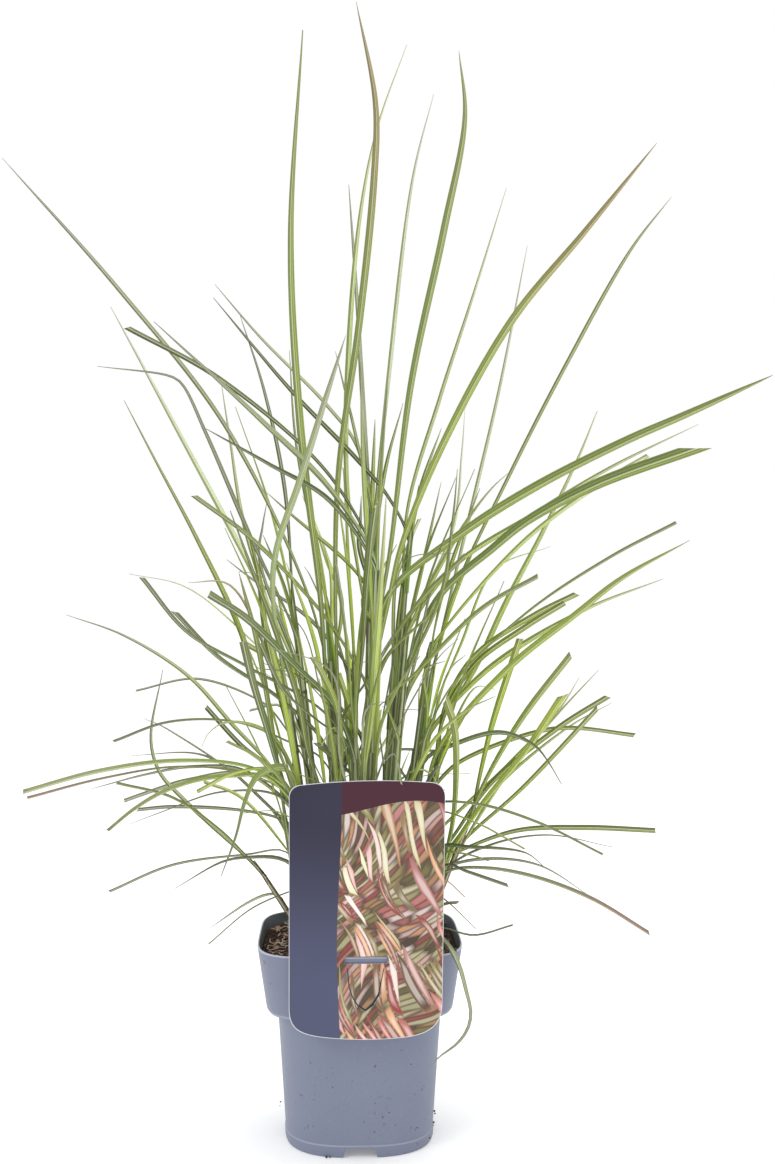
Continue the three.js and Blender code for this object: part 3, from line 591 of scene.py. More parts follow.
# Crumbs by the pot's side and foot: across, towards the back, up, size. They are placed for the view from the
# front. Only one of them touches the pot, and the others hang 0.5 to 10 mm in front of it or beside it.
STUCK = [
    (-50.4, -33, 30.5, 0.5), (-50.9, -32, 27.5, 0.3), (49.4, -33, 24.5, 0.6), (49.9, -32, 22.6, 0.5),
    (49.0, -34, 17.5, 0.6), (48.7, -34, 15.6, 0.4), (-20, -49, 0.9, 0.7), (-17.8, -49, 0.8, 0.5),
    (28, -52.0, 70, 0.3), (-16, -51.6, 46, 0.3), (11, -51.2, 36, 0.3), (34, -51.6, 61, 0.35),
    (-30, -51.9, 62, 0.3), (46, -46, 12, 0.5), (20, -51.0, 30, 0.35), (16, -51.0, 27, 0.4),
    (24, -51.0, 22, 0.3), (4, -51.2, 24, 0.3), (-34, -50.6, 20, 0.3), (38, -50.0, 20, 0.35),
]
stuck = bmesh.new()
for x, y, z, size in STUCK:
    first = len(stuck.verts)
    place = Matrix.Translation(POT_PLACE @ Vector((x, y, z)))
    bmesh.ops.create_icosphere(stuck, subdivisions=2, radius=size * MM, matrix=place)
    stuck.verts.ensure_lookup_table()
    for vertex in stuck.verts[first:]:
        vertex.co += Vector(soil_draws.normal(0, 0.2 * size * MM, 3))
crumbs = like_soil("stuck_crumbs", mesh_from(stuck, "stuck_crumbs"))
outward(crumbs.data)
crumbs.data.materials.append(peat)
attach(crumbs, "root")

# The label
# A sheet of white polystyrene, die cut and printed on its face, with a border of bare white. A slit takes the
# pot's rim, and a pointed tongue below it presses on the collar. The print is a plain pattern in the grass's
# colours, beside a navy strip and under a maroon band.
LABEL_WIDTH = 98
LABEL_BOTTOM = 82
LABEL_TOP = 245
LABEL_THICKNESS = 0.7
LABEL_OFFSET = 4
LABEL_BORDER = 0.35
HOLE_BORDER = 0.06
SHEET_THICKNESS = 0.4
SHEET_ROUNDING = 0.08
PRINT_DEPTH = 0.04
CURVE_STEPS = 12
SLOT_LEFT, SLOT_RIGHT, SLOT_DROP, SLOT_RISE = -14, 12.4, 3.8, 0.7
TONGUE = [
    (-12.7, 126.4), (-12.0, 117.1), (-11.4, 113.4), (-9.5, 108.1), (-6.4, 103.0), (-1.0, 99.3), (3.8, 103.2),
    (7.5, 109.4), (9.1, 118.4), (10.7, 126.4), (10.1, 126.4), (8.5, 118.4), (6.6, 110.3), (3.0, 104.5),
    (-1.0, 100.6), (-5.9, 103.7), (-8.9, 108.5), (-10.8, 113.6), (-11.4, 117.1), (-12.1, 126.4),
]


def label_outline(border):
    half, low, high = LABEL_WIDTH / 2 - border, LABEL_BOTTOM + border, LABEL_TOP - border
    line = [(-half, low + 20)]

    def bend(*controls):
        """Goes on along a curve that ends at the last control."""
        start = line[-1]
        for step in range(1, CURVE_STEPS + 1):
            row = [Vector(p) for p in (start, *controls)]
            while len(row) > 1:
                row = [a.lerp(b, step / CURVE_STEPS) for a, b in zip(row, row[1:])]
            line.append(tuple(row[0]))

    bend((-half, low + 8), (4 - half, low + 3), (24 - half, low + 1))
    bend((0, low - 1.6), (half - 24, low + 1))
    bend((half - 10, low + 3), (half - 3, low + 8), (half - 2, low + 20))
    line.append((half, high - 12))
    bend((half, high - 3), (half - 9, high - 2.4))
    bend((0, high + 0.6), (9 - half, high - 3.6))
    bend((-half, high - 4), (-half, high - 12))
    return line[:-1]


def cut_sheet(name, border, hole_border, thickness, depth, rounding):
    """A flat sheet with the label's outline and holes, standing upright at that depth in front of the rim."""
    curve = bpy.data.curves.new(name, "CURVE")
    curve.dimensions = "2D"
    curve.fill_mode = "BOTH"
    curve.extrude = thickness / 2 - rounding
    curve.bevel_depth = rounding
    curve.bevel_resolution = 1
    curve.offset = -rounding
    left, right = SLOT_LEFT - hole_border, SLOT_RIGHT + hole_border
    low, high = POT_HEIGHT - SLOT_DROP - hole_border, POT_HEIGHT + SLOT_RISE + hole_border
    for outline in label_outline(border), [(left, low), (right, low), (right, high), (left, high)], TONGUE:
        spline = curve.splines.new("POLY")
        spline.points.add(len(outline) - 1)
        spline.use_cyclic_u = True
        for point, (x, z) in zip(spline.points, outline):
            point.co = (x, z, 0, 1)
    shape = added(name, curve)
    mesh = evaluated(shape)
    bpy.data.objects.remove(shape)
    store(mesh, "print_place", "FLOAT_VECTOR", "vector", [vertex.co for vertex in mesh.vertices])
    upright = Matrix.Translation((LABEL_OFFSET, depth, 0)) @ Matrix.Rotation(math.pi / 2, 4, "X")
    mesh.transform(POT_PLACE @ Matrix.Rotation(POT_TURN, 4, "Z") @ upright)
    return mesh


label_front = -RIM_WIDTH / 2 - FIT - LABEL_THICKNESS
sheet = cut_sheet("label_sheet", 0, 0, SHEET_THICKNESS, label_front + SHEET_THICKNESS / 2, SHEET_ROUNDING)
printed = cut_sheet("label_print", LABEL_BORDER, HOLE_BORDER, PRINT_DEPTH, label_front - PRINT_DEPTH / 2, 0)
both = bmesh.new()
both.from_mesh(sheet)
bmesh.ops.remove_doubles(both, verts=both.verts, dist=1e-6)
sheet_faces = len(both.faces)
both.from_mesh(printed)
both.faces.ensure_lookup_table()
for face in both.faces[sheet_faces:]:
    face.material_index = 1
bmesh.ops.remove_doubles(both, verts=both.verts, dist=1e-6)
bmesh.ops.recalc_face_normals(both, faces=both.faces)
label = added("plant_label", mesh_from(both, "plant_label"))

bare = Finish("label_plastic")
white = bare.mix(bare.noise(bare.place(), 70.0), (206, 207, 210), (218, 219, 222))
bare.bump(bare.noise(bare.place(), 500.0), 0.0001, 0.3)

ink = Finish("label_print")
flat = ink.attribute("print_place", "Vector")
across, up, _ = ink.node("SeparateXYZ", {0: flat}).outputs
waist = ink.sum("SINE", ink.times(up, 0.034))
border = ink.sum("MULTIPLY_ADD", waist, 1.5, -17.5)
on_picture = ink.between(ink.sum("SUBTRACT", across, border), -0.15, 0.15)
navy = ink.mix(ink.between(up, 225.0, 110.0), (38, 36, 55), (76, 80, 107))
navy = ink.coated(navy, (ink.noise(flat, 0.03, 1.0), 0.3, (60, 62, 88)))
INKS = [  # the pattern's colours, by a cell's random number
    (0.0, (58, 48, 42)), (0.1, (132, 132, 76)), (0.22, (232, 226, 190)), (0.34, (160, 150, 96)),
    (0.44, (96, 72, 58)), (0.54, (204, 118, 116)), (0.64, (244, 228, 222)), (0.74, (152, 54, 60)),
    (0.84, (112, 104, 74)), (0.94, (216, 160, 120)),
]


def petals(turn, length, width, start):
    """Long rounded cells: each one's colour and random number, and how far a place lies from their edge."""
    wave = ink.joined(ink.noise(flat, 0.016, 0.0, output="Color"), (0.5, 0.5, 0.5), "SUBTRACT")
    laid = ink.joined(flat, ink.scaled(wave, 40.0))
    laid = ink.out("Mapping", {"Vector": laid, "Rotation": (0, 0, turn)})
    grid = {"Vector": laid, "Location": (start, 0, 0), "Scale": (1 / width, 1 / length, 1)}
    values = {"Vector": ink.out("Mapping", grid), "Scale": 1.0, "Randomness": 0.85}
    cells = ink.node("TexVoronoi", values, voronoi_dimensions="2D")
    rim = ink.node("TexVoronoi", values, voronoi_dimensions="2D", feature="DISTANCE_TO_EDGE")
    tone, pick, _ = ink.node("SeparateColor", {0: cells.outputs["Color"]}).outputs
    ramp = ink.node("ValToRGB", {0: tone})
    stops = ramp.color_ramp.elements
    (stops[0].position, first), *middle, (stops[1].position, last) = INKS
    stops[0].color, stops[1].color = srgb(*first), srgb(*last)
    for place, colour in middle:
        stops.new(place).color = srgb(*colour)
    return ramp.outputs[0], pick, rim.outputs["Distance"]


low_colour, _, low_rim = petals(0.8, 17.0, 2.9, 3.0)
top_colour, top_pick, top_rim = petals(-0.45, 27.0, 3.4, 8.0)
lower = ink.coated(low_colour, (ink.between(low_rim, 0.3, 0.0), 0.75, (62, 50, 44)))
lower = ink.mix(0.35, lower, (92, 74, 60))
upper = ink.mix(ink.between(top_rim, 0.16, 0.03), top_colour, (138, 108, 90))
upper = ink.coated(upper, (ink.between(top_rim, 0.16, 0.4), 0.4, (246, 238, 228)))
on_top = ink.times(ink.sum("GREATER_THAN", top_pick, 0.45), ink.between(top_rim, 0.03, 0.07))
band = ink.sum("MULTIPLY_ADD", ink.sum("SINE", ink.times(across, 0.05)), 5.0, 226.0)
in_band = ink.between(ink.sum("SUBTRACT", up, band), -0.15, 0.15)
picture = ink.mix(in_band, ink.mix(on_top, lower, upper), (66, 26, 42))
label.data.materials.append(bare.done(white, 0.45))
label.data.materials.append(ink.done(ink.mix(on_picture, navy, picture), 0.38, 0.3))
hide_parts("label")
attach(label, "root")

# The clump
# Leafy stems stand close together in a sunflower spiral and lean outwards as they rise. Their narrow leaves
# wrap the stalk as a sheath before they part from it. Leaves that were trimmed at the nursery end blunt.
STEM_COUNT = 34
STEM_SPACING = 6.5
STEM_RADIUS = 3
SHORTEST_STEM = 30
SPIRAL_START = 0.4
FIRST_TURN = 0.6
LEAN_START = SOIL_TOP + 4
STEM_LEAN = 0.0045
STEM_ARCH = 0.000004
LOAD = 2.5
LOWEST_ROOT = SOIL_TOP + 20
SUNK = 12
TURNED_TOP = 520
TURNED_REACH = 60
WIDEST_TURNED = 6
TURN_STEP = 5
HEART_STEP = 0.3
BEAD_STEP = 5
LEAF_ROOM = 0.9
STALK_ROOM = 0.6
SIDESTEP = 9
MOST_SIDESTEPS = 9
EYE = np.array((19, -980, 368))
GOLDEN_ANGLE = math.pi * (3 - math.sqrt(5))
CUT, POINTED, FINE = "cut", "pointed", "fine"

# One row for each leaf that shows by itself: its look, where it leaves its stem, across and up, its width,
# its kind of end, how far its tip reaches in depth (+ is away from the front), and the places that it passes
# on the way to its tip, as seen from EYE in the upright plane through the pot's axis. A third number in a
# place is its true depth.
LEAVES = [
    # Tall ones in the middle
    ("green", -14, 285, 5.5, FINE, -60, (-26, 356), (-40, 478), (-46, 600), (-38, 739)),
    ("ruddy", -10, 290, 5, POINTED, -30, (-16, 356), (-14, 441), (0, 542), (10, 640), (11, 689), (-2, 758)),
    ("pale", -3, 329, 4, FINE, 70, (-8, 430), (-7, 525), (1, 617), (13, 676), (32, 729)),
    ("grey", 7, 400, 4, FINE, 100, (2, 497), (-1, 550), (-7, 635)),
    ("faint", 14, 383, 3.5, FINE, 130, (20, 508), (36, 639), (50, 696)),
    ("green", 13, 322, 5, POINTED, -80, (21, 391), (35, 502), (57, 605), (71, 680), (67, 725)),
    ("pale", 17, 342, 3, FINE, 100, (32, 414), (54, 491), (77, 562), (99, 633)),
    ("bright", 10, 320, 3.5, FINE, -100, (7, 375), (3, 441), (1, 516)),
    ("green", 10, 400, 2.5, FINE, 60, (-2, 465), (-16, 523)),
    ("green", -30, 350, 2.5, FINE, 100, (-42, 458), (-47, 524)),
    # Upper left
    ("ashen", -16, 289, 3.5, POINTED, 60, (-34, 358), (-90, 473), (-161, 564), (-240, 653)),
    ("faint", -40, 295, 4, FINE, 90, (-67, 365), (-128, 481), (-167, 553)),
    ("dark", 4, 383, 4, CUT, 30, (-21, 441), (-93, 504), (-156, 539)),
    ("ashen", 8, 380, 4, FINE, -40, (-19, 430), (-65, 476), (-138, 543)),
    ("purple", -50, 329, 3, FINE, -20, (-72, 396), (-103, 468), (-119, 501), (-126, 506), (-176, 513)),
    ("ashen", 14, 405, 3, FINE, 110, (-1, 458), (-21, 486), (-66, 532), (-97, 568)),
    ("dark", 28, 396, 3.5, FINE, 50, (19, 426), (-2, 451), (-46, 497), (-98, 559)),
    ("purple", -38, 350, 3, FINE, 120, (-50, 430), (-64, 497), (-80, 547)),
    ("green", -46, 228, 4, FINE, 80, (-67, 289), (-79, 333), (-109, 397), (-135, 446), (-158, 490)),
    ("dark", 10, 375, 3.5, FINE, -50, (-19, 422), (-62, 448), (-103, 471)),
    ("green", 11, 289, 3.5, CUT, -20, (-14, 332), (-34, 358), (-72, 397), (-111, 426)),
    ("green", 8, 360, 3, FINE, 60, (-5, 378), (-44, 412), (-62, 428)),
    ("pale", -48, 290, 3, FINE, 110, (-77, 405), (-87, 465), (-93, 504)),
    ("purple", -50, 300, 3, FINE, 90, (-67, 383), (-65, 405), (-62, 422)),
    ("faint", -46, 289, 4.5, POINTED, -70, (-58, 358), (-56, 388), (-40, 436), (-24, 487), (-9, 534)),
    ("purple", -5, 300, 3, FINE, 80, (-30, 340), (-72, 370), (-89, 383)),
    ("green", -36, 215, 4.5, POINTED, 20, (-40, 232), (-62, 329), (-68, 375), (-75, 403)),
    ("green", -42, 200, 4, POINTED, -40, (-58, 266), (-68, 325), (-81, 375)),
    ("dark", -42, 190, 5.5, CUT, -60, (-50, 230), (-62, 270), (-72, 303), (-78, 328)),
    # Left, middle height
    ("ashen", -40, 208, 3, FINE, 40, (-58, 242), (-85, 272), (-115, 305), (-158, 332), (-197, 346)),
    ("dark", -9, 248, 3, CUT, -60, (-22, 279), (-75, 311), (-115, 334), (-146, 371)),
    ("dark", -9, 228, 4, CUT, -30, (-24, 260), (-54, 290), (-95, 318), (-124, 348)),
    ("dark", -3, 248, 6, CUT, -90, (-17, 285), (-42, 311), (-75, 343), (-101, 360)),
    ("green", 2, 255, 4, CUT, 50, (-12, 283), (-46, 309), (-79, 328)),
    ("purple", -33, 235, 2, CUT, 70, (-58, 281), (-72, 291), (-109, 303), (-150, 295)),
    ("ashen", -13, 221, 2.5, CUT, -10, (-26, 250), (-46, 260), (-83, 274), (-128, 274), (-165, 261)),
    ("pale", -30, 225, 3, FINE, -50, (-60, 266), (-88, 274), (-101, 267), (-106, 257)),
    ("dark", -40, 201, 3.5, CUT, 60, (-62, 244), (-79, 258), (-103, 284)),
    ("green", -33, 194, 4.5, CUT, -80, (-47, 228), (-68, 250), (-89, 261)),
    ("dark", 5, 225, 3.5, CUT, -60, (-12, 245), (-29, 260)),
    # Low left arcs
    ("pale", -26, 188, 3.5, CUT, -40, (-49, 230), (-75, 244), (-122, 248), (-175, 241), (-226, 227)),
    ("dusty", -24, 180, 2.5, CUT, -10, (-49, 226), (-80, 240), (-122, 244), (-173, 236), (-223, 223)),
    ("purple", -28, 195, 3, FINE, 60, (-75, 240), (-111, 244), (-142, 239), (-180, 229)),
    ("ashen", -30, 190, 3, CUT, 30, (-73, 238), (-115, 235), (-138, 228), (-158, 221)),
    ("pale", -40, 208, 4, CUT, -70, (-62, 237), (-83, 238), (-109, 235), (-132, 227), (-152, 215),
     (-169, 201)),
    ("purple", -29, 181, 2.5, CUT, 10, (-50, 207), (-75, 214), (-125, 217), (-149, 215)),
    ("purple", -29, 191, 2, FINE, -20, (-52, 223), (-92, 227), (-134, 213), (-155, 205)),
    ("curled", -33, 204, 3.5, FINE, -80, (-50, 243), (-68, 238), (-77, 220), (-83, 197), (-93, 170)),
    ("purple", -29, 168, 2, CUT, 40, (-50, 187), (-75, 185), (-125, 178), (-168, 160)),
    ("purple", -28, 160, 3, FINE, -30, (-50, 181), (-75, 183), (-92, 180), (-124, 162)),
    # Broad one to the upper right and its neighbours
    ("ruddy", 11, 302, 5.5, POINTED, -70, (21, 361), (28, 391), (55, 458), (102, 543), (152, 604),
     (200, 663)),
    ("green", 44, 295, 3.5, POINTED, 70, (62, 356), (100, 438), (139, 514), (183, 592), (210, 627)),
    ("faint", 48, 302, 3, FINE, 130, (67, 383), (75, 416), (94, 497), (113, 594)),
    ("green", 4, 302, 7, POINTED, -50, (19, 358), (65, 398), (118, 432), (179, 463), (218, 480),
     (278, 507)),
    ("pale", 34, 322, 4, FINE, 60, (61, 376), (118, 414), (169, 445), (228, 474)),
    ("torn", 28, 295, 8, CUT, -20, (52, 356), (90, 391), (114, 410), (160, 434), (226, 458)),
    ("pale", 50, 320, 4, CUT, 30, (108, 393), (165, 436), (194, 453)),
    ("green", 44, 262, 2.5, CUT, -40, (62, 298), (112, 347), (169, 385), (213, 408)),
    ("vivid", 40, 215, 5, POINTED, -80, (52, 253), (99, 309), (145, 346), (177, 371), (222, 396)),
    ("pale", 48, 255, 4, FINE, 40, (74, 298), (102, 321), (155, 351), (204, 370)),
    ("green", 13, 262, 3.5, CUT, -90, (19, 289), (36, 305), (82, 350), (120, 372)),
    ("green", 48, 248, 4, CUT, 20, (57, 283), (77, 318), (118, 346), (146, 360)),
    ("green", 44, 228, 4, CUT, 0, (56, 275), (77, 312), (112, 338), (138, 354)),
    ("pale", 54, 255, 4.5, FINE, 60, (74, 303), (99, 355), (124, 403), (147, 451), (160, 483)),
    ("faint", 30, 330, 2.5, FINE, 120, (62, 400), (69, 455), (71, 484)),
    ("green", 35, 300, 3, FINE, -90, (55, 360), (63, 411), (66, 444)),
    ("green", 25, 310, 3, FINE, 80, (44, 385), (55, 435)),
    ("pale", 30, 330, 3, FINE, -40, (69, 404), (90, 432), (100, 441)),
    # Right, middle height
    ("vivid", 48, 154, 6, CUT, -60, (60, 183), (82, 218), (112, 255), (137, 292)),
    ("pale", 56, 190, 3, FINE, 40, (100, 245), (135, 283), (148, 304)),
    ("pale", 54, 180, 3, FINE, -10, (100, 240), (134, 280), (161, 309)),
    ("green", 48, 168, 4, CUT, 30, (61, 194), (89, 233), (135, 271), (167, 291)),
    ("pale", 46, 160, 3, FINE, 50, (61, 190), (92, 230), (140, 270), (170, 287)),
    ("green", 44, 201, 4.5, CUT, 50, (55, 236), (69, 248), (118, 267), (142, 270), (185, 265)),
    ("dark", 34, 208, 3.5, POINTED, -60, (44, 248), (64, 259), (95, 267), (118, 258), (128, 246),
     (136, 232)),
    ("bright", 48, 154, 3.5, CUT, 10, (58, 180), (74, 198), (109, 229), (160, 283)),
    ("bright", 51, 154, 5, CUT, -70, (58, 183), (63, 208), (65, 236), (64, 270), (58, 289)),
    # Low right arcs
    ("green", 48, 164, 4, CUT, 60, (69, 188), (106, 201), (152, 203), (199, 201)),
    ("purple", 44, 154, 2, FINE, -30, (60, 176), (90, 192), (127, 198), (170, 190)),
    ("dark", 38, 168, 3, FINE, -70, (55, 190), (74, 190), (112, 186), (125, 176)),
    ("purple", 44, 154, 2.5, FINE, 90, (60, 177), (86, 182), (120, 178), (158, 155)),
    ("dusty", 41, 158, 3.5, CUT, -50, (60, 174), (84, 176), (118, 170), (157, 155), (195, 132)),
    ("purple", 44, 160, 3, CUT, -90, (59, 178), (71, 174), (100, 164)),
    # On the two low side shoots
    ("bright", -67, 172, 3, CUT, -20, (-79, 187), (-92, 200), (-125, 223), (-163, 233)),
    ("ashen", -67, 172, 3, FINE, 20, (-100, 205), (-118, 222), (-134, 240), (-140, 262), (-132, 309)),
    ("grey", -46, 150, 2, FINE, 30, (-55, 158), (-62, 158), (-74, 153), (-101, 135)),
    ("bright", 72, 217, 4.5, CUT, 10, (79, 228), (89, 271), (108, 330)),
    ("bright", 70, 205, 4.5, CUT, -20, (83, 231), (109, 276), (142, 319)),
    # The one that droops over the rim, with its depths given
    ("ashen", 32, 150, 3.5, FINE, -100, (46, 138, -44), (56, 128, -54), (63, 119, -62), (68, 108, -68),
     (72, 93, -72), (75, 79, -73), (73, 68, -72), (66, 58, -71), (54, 49, -69), (48, 43, -68)),
]
SIDE_SHOOTS = [
    dict(foot=np.array((-38, 3)), lean=np.array((-0.66, 0.02)), top=174),
    dict(foot=np.array((41, -12)), lean=np.array((0.4, -0.04)), top=219),
]


def seeded_draws(seed):
    """Draws between 0 and 1, the same in every run."""
    while True:
        seed = seed * 16807 % 2147483647
        yield seed / 2147483647


clump_draws = seeded_draws(2)


def draw_between(low, high):
    return low + (high - low) * next(clump_draws)


def eased(t):
    u = np.clip(t, 0, 1)
    return u * u * (3 - 2 * u)


def unit(v):
    return v / np.linalg.norm(v, axis=-1, keepdims=True)


def runs_of(points):
    """How far along a line of points each of them lies."""
    return np.concatenate([[0], np.cumsum(np.linalg.norm(np.diff(points, axis=0), axis=1))])


def around(angle, out=1.0, up=0.0):
    """A place that far out from the pot's axis, in that direction."""
    return np.array([out * math.cos(angle), out * math.sin(angle), up])


def at_depth(x, z, y):
    """The place at depth y that lies, as seen from EYE, at (x, z) in the plane through the pot's axis."""
    return EYE + (np.array((x, 0, z)) - EYE) * (y - EYE[1]) / -EYE[1]


def on_stem(stem, z):
    """A stem's middle at a height: upright in the soil, then leaning, the more the higher it gets."""
    rise = max(z - LEAN_START, 0)
    lean = stem.get("lean", stem["foot"] * (STEM_LEAN + STEM_ARCH * rise))
    return np.append(stem["foot"] + lean * rise, z)


def rooted(root):
    """The stem that a leaf with its root about there grows on, and the leaf's foot on it."""
    def cost(stem):
        over_tip = 1000 if "lean" in stem and root[2] > stem["top"] else 0
        return np.linalg.norm(on_stem(stem, root[2]) - root) + LOAD * len(stem["leaves"]) + over_tip

    stem = min(stems, key=cost)
    return stem, on_stem(stem, root[2])


def level_across(foot, tip):
    return unit(np.array([foot[1] - tip[1], tip[0] - foot[0], 0]))


def add_leaf(stem, foot, course, across=None, **facts):
    """Gives the stem a leaf. Its course is the places it passes when it is bent aside by so many steps."""
    if across is None:
        across = level_across(foot, course(0)[-1])
    stem["leaves"].append(dict(stem=stem, foot=foot, course=course, across=across, **facts))
    return stem["leaves"][-1]


def seen_leaf(look, x, z, width, end, reach, *places):
    """A leaf that shows by itself, from its row."""
    stem, foot = rooted(at_depth(x, max(z, LOWEST_ROOT), np.clip(reach * 0.3, -30, 30)))
    runs = runs_of([(x, z), *(place[:2] for place in places)])[1:]

    def course(trial):
        depths = foot[1] + (reach + SIDESTEP * trial) * (runs / runs[-1]) ** 1.5
        return [foot, *(at_depth(*(*place, depth)[:3]) for place, depth in zip(places, depths))]

    tip_x, tip_z = places[-1][:2]
    across = unit(np.array([z - tip_z, 0, tip_x - x]) * (-1 if reach < 0 else 1))
    roll = -np.sign(across[2]) * (draw_between(10, 28) + 12 * abs(across[2]))
    return add_leaf(stem, foot, course, across, roll=roll, look=look, width=width, end=end, alone=True)


def turned_leaf(n, look, x, z, width, end, _, *places):
    """The same leaf again, turned to the back or the front round the pot's axis, and somewhat shorter."""
    look = {"purple": "green", "grey": "pale", "faint": "pale", "ashen": "bright"}.get(look, look)
    low = min(place[1] for place in places) < LABEL_TOP + 25
    way = 90 + draw_between(-32, 32) if low or n % 2 else -90 + draw_between(-14, 14)
    size = draw_between(0.72, 0.9)
    stem, foot = rooted(around(math.radians(way), x * 0.8, max(z * 0.94, LOWEST_ROOT)))

    def course(trial):
        turn, side = math.radians(way + TURN_STEP * trial), np.sign(places[-1][0])
        return [foot, *(around(turn, side * abs(x) * size, foot[2] + (up - z) * size) for x, up in places)]

    roll = draw_between(8, 45) * (-1 if next(clump_draws) < 0.4 else 1)
    return add_leaf(stem, foot, course, roll=roll, look=look, width=min(width, WIDEST_TURNED), end=end)


def heart_leaf(stem):
    """The youngest leaf of a stem, which stands nearly upright in its tip."""
    foot = on_stem(stem, stem["top"] - 4)
    length = draw_between(70, 150)
    spread = draw_between(0.12, 0.3) * length
    facing = math.atan2(stem["foot"][1], stem["foot"][0]) + draw_between(-0.6, 0.6)

    def course(trial):
        out = spread * around(facing + HEART_STEP * trial)
        lean = (on_stem(stem, stem["top"]) - on_stem(stem, stem["top"] - 10)) * (length / 10)
        return [foot, foot + 0.5 * lean + 0.3 * out, foot + lean + out]

    roll, width = draw_between(0, 60), draw_between(3, 4.5)
    return add_leaf(stem, foot, course, roll=roll, look="bright", width=width, end=FINE)


class Course:
    """A smooth line through places, as a centripetal Catmull-Rom curve measured by its length."""

    def __init__(self, points):
        p = np.array(points)
        self.points = np.vstack([2 * p[0] - p[1], p, 2 * p[-1] - p[-2]])
        self.shares = np.linspace(0, 1, 201)
        self.runs = runs_of(self.at_share(self.shares))
        self.length = self.runs[-1]

    def at_share(self, shares):
        spans = len(self.points) - 3
        first = np.minimum(np.floor(shares * spans).astype(int), spans - 1)
        w = (shares * spans - first)[:, None]
        p0, p1, p2, p3 = (self.points[first + k] for k in range(4))
        d0, d1, d2 = ((((b - a) ** 2).sum(1) ** 0.25)[:, None] for a, b in ((p0, p1), (p1, p2), (p2, p3)))
        t1 = ((p1 - p0) / d0 - (p2 - p0) / (d0 + d1) + (p2 - p1) / d1) * d1
        t2 = ((p2 - p1) / d1 - (p3 - p1) / (d1 + d2) + (p3 - p2) / d2) * d1
        return p1 + t1 * w + (3 * (p2 - p1) - 2 * t1 - t2) * w ** 2 + (2 * (p1 - p2) + t1 + t2) * w ** 3

    def share_at(self, parts):
        return np.interp(parts * self.length, self.runs, self.shares)

    def places(self, parts):
        return self.at_share(self.share_at(parts))

    def ways(self, parts):
        share = self.share_at(parts)
        return self.at_share(np.minimum(share + 1e-4, 1)) - self.at_share(np.maximum(share - 1e-4, 0))


def beads_at(places, radius, stem):
    """Round beads that stand for a leaf or a stalk: place, radius and the number of their stem."""
    return np.column_stack([places, np.full((len(places), 2), (radius, stem["number"]))])


def clearance(own, others):
    """The least room between a leaf and the label, and all that belongs to other stems."""
    before_label = (abs(own[:, 0] - LABEL_OFFSET) < LABEL_WIDTH / 2 + 5) & (own[:, 2] < LABEL_TOP + 5)
    square = ((own[:, None, :3] - others[:, :3]) ** 2).sum(2)
    reach = own[:, None, 3] + others[:, 3]
    touching = square < reach * reach
    overlaps = np.sqrt(square[touching]) - reach[touching]
    return min([math.inf, *overlaps, *(own[before_label, 1] + RIM_WIDTH / 2 - 8)])


def settle(leaf, beads):
    """Bends a leaf aside until it is clear of the other stems and of the leaves that are there already."""
    stem, trials = leaf["stem"], []
    others = beads[beads[:, 4] != stem["number"]]
    sunk = on_stem(stem, max(leaf["foot"][2], LOWEST_ROOT) - SUNK)
    for n in range(2 * MOST_SIDESTEPS + 1):
        line = Course([sunk, *leaf["course"]((1 if n % 2 else -1) * math.ceil(n / 2))])
        parts = np.linspace(0, 1, math.floor(line.length / BEAD_STEP + 0.5) + 1)
        own = beads_at(line.places(parts), 0.32 * leaf["width"] + LEAF_ROOM, stem)
        trials.append((clearance(own, others), line, own))
        if trials[-1][0] > 0:
            break
    leaf["room"], leaf["line"], own = max(trials, key=lambda trial: trial[0])
    return np.vstack([beads, own])


clump = []
for k in range(STEM_COUNT):
    foot = around(k * GOLDEN_ANGLE + SPIRAL_START, STEM_SPACING * math.sqrt(k + FIRST_TURN))[:2]
    clump.append(dict(foot=foot, top=LEAN_START + SHORTEST_STEM))
stems = clump + SIDE_SHOOTS
for number, stem in enumerate(stems):
    stem.update(number=number, leaves=[])
seen = [seen_leaf(*row) for row in LEAVES]
sideways = [
    row for row in LEAVES
    if abs(row[-1][0] - row[1]) > TURNED_REACH and row[-1][1] < TURNED_TOP and len(row[-1]) == 2
]
turned = [turned_leaf(n, *row) for n, row in enumerate(sideways)]
for stem in clump:
    stem["top"] = max([stem["top"]] + [leaf["foot"][2] + 2 for leaf in stem["leaves"]])
hearts = [heart_leaf(stem) for stem in clump]
beads = []
for stem in stems:
    count = math.ceil((stem["top"] - SOIL_TOP) / BEAD_STEP)
    middles = [on_stem(stem, SOIL_TOP + i * BEAD_STEP) for i in range(count + 1)]
    beads.append(beads_at(middles, STEM_RADIUS + STALK_ROOM, stem))
beads = np.vstack(beads)
for leaf in seen + hearts + turned:
    beads = settle(leaf, beads)
for stem in stems:
    stem["leaves"] = [leaf for leaf in stem["leaves"] if "alone" in leaf or leaf["room"] > 0]

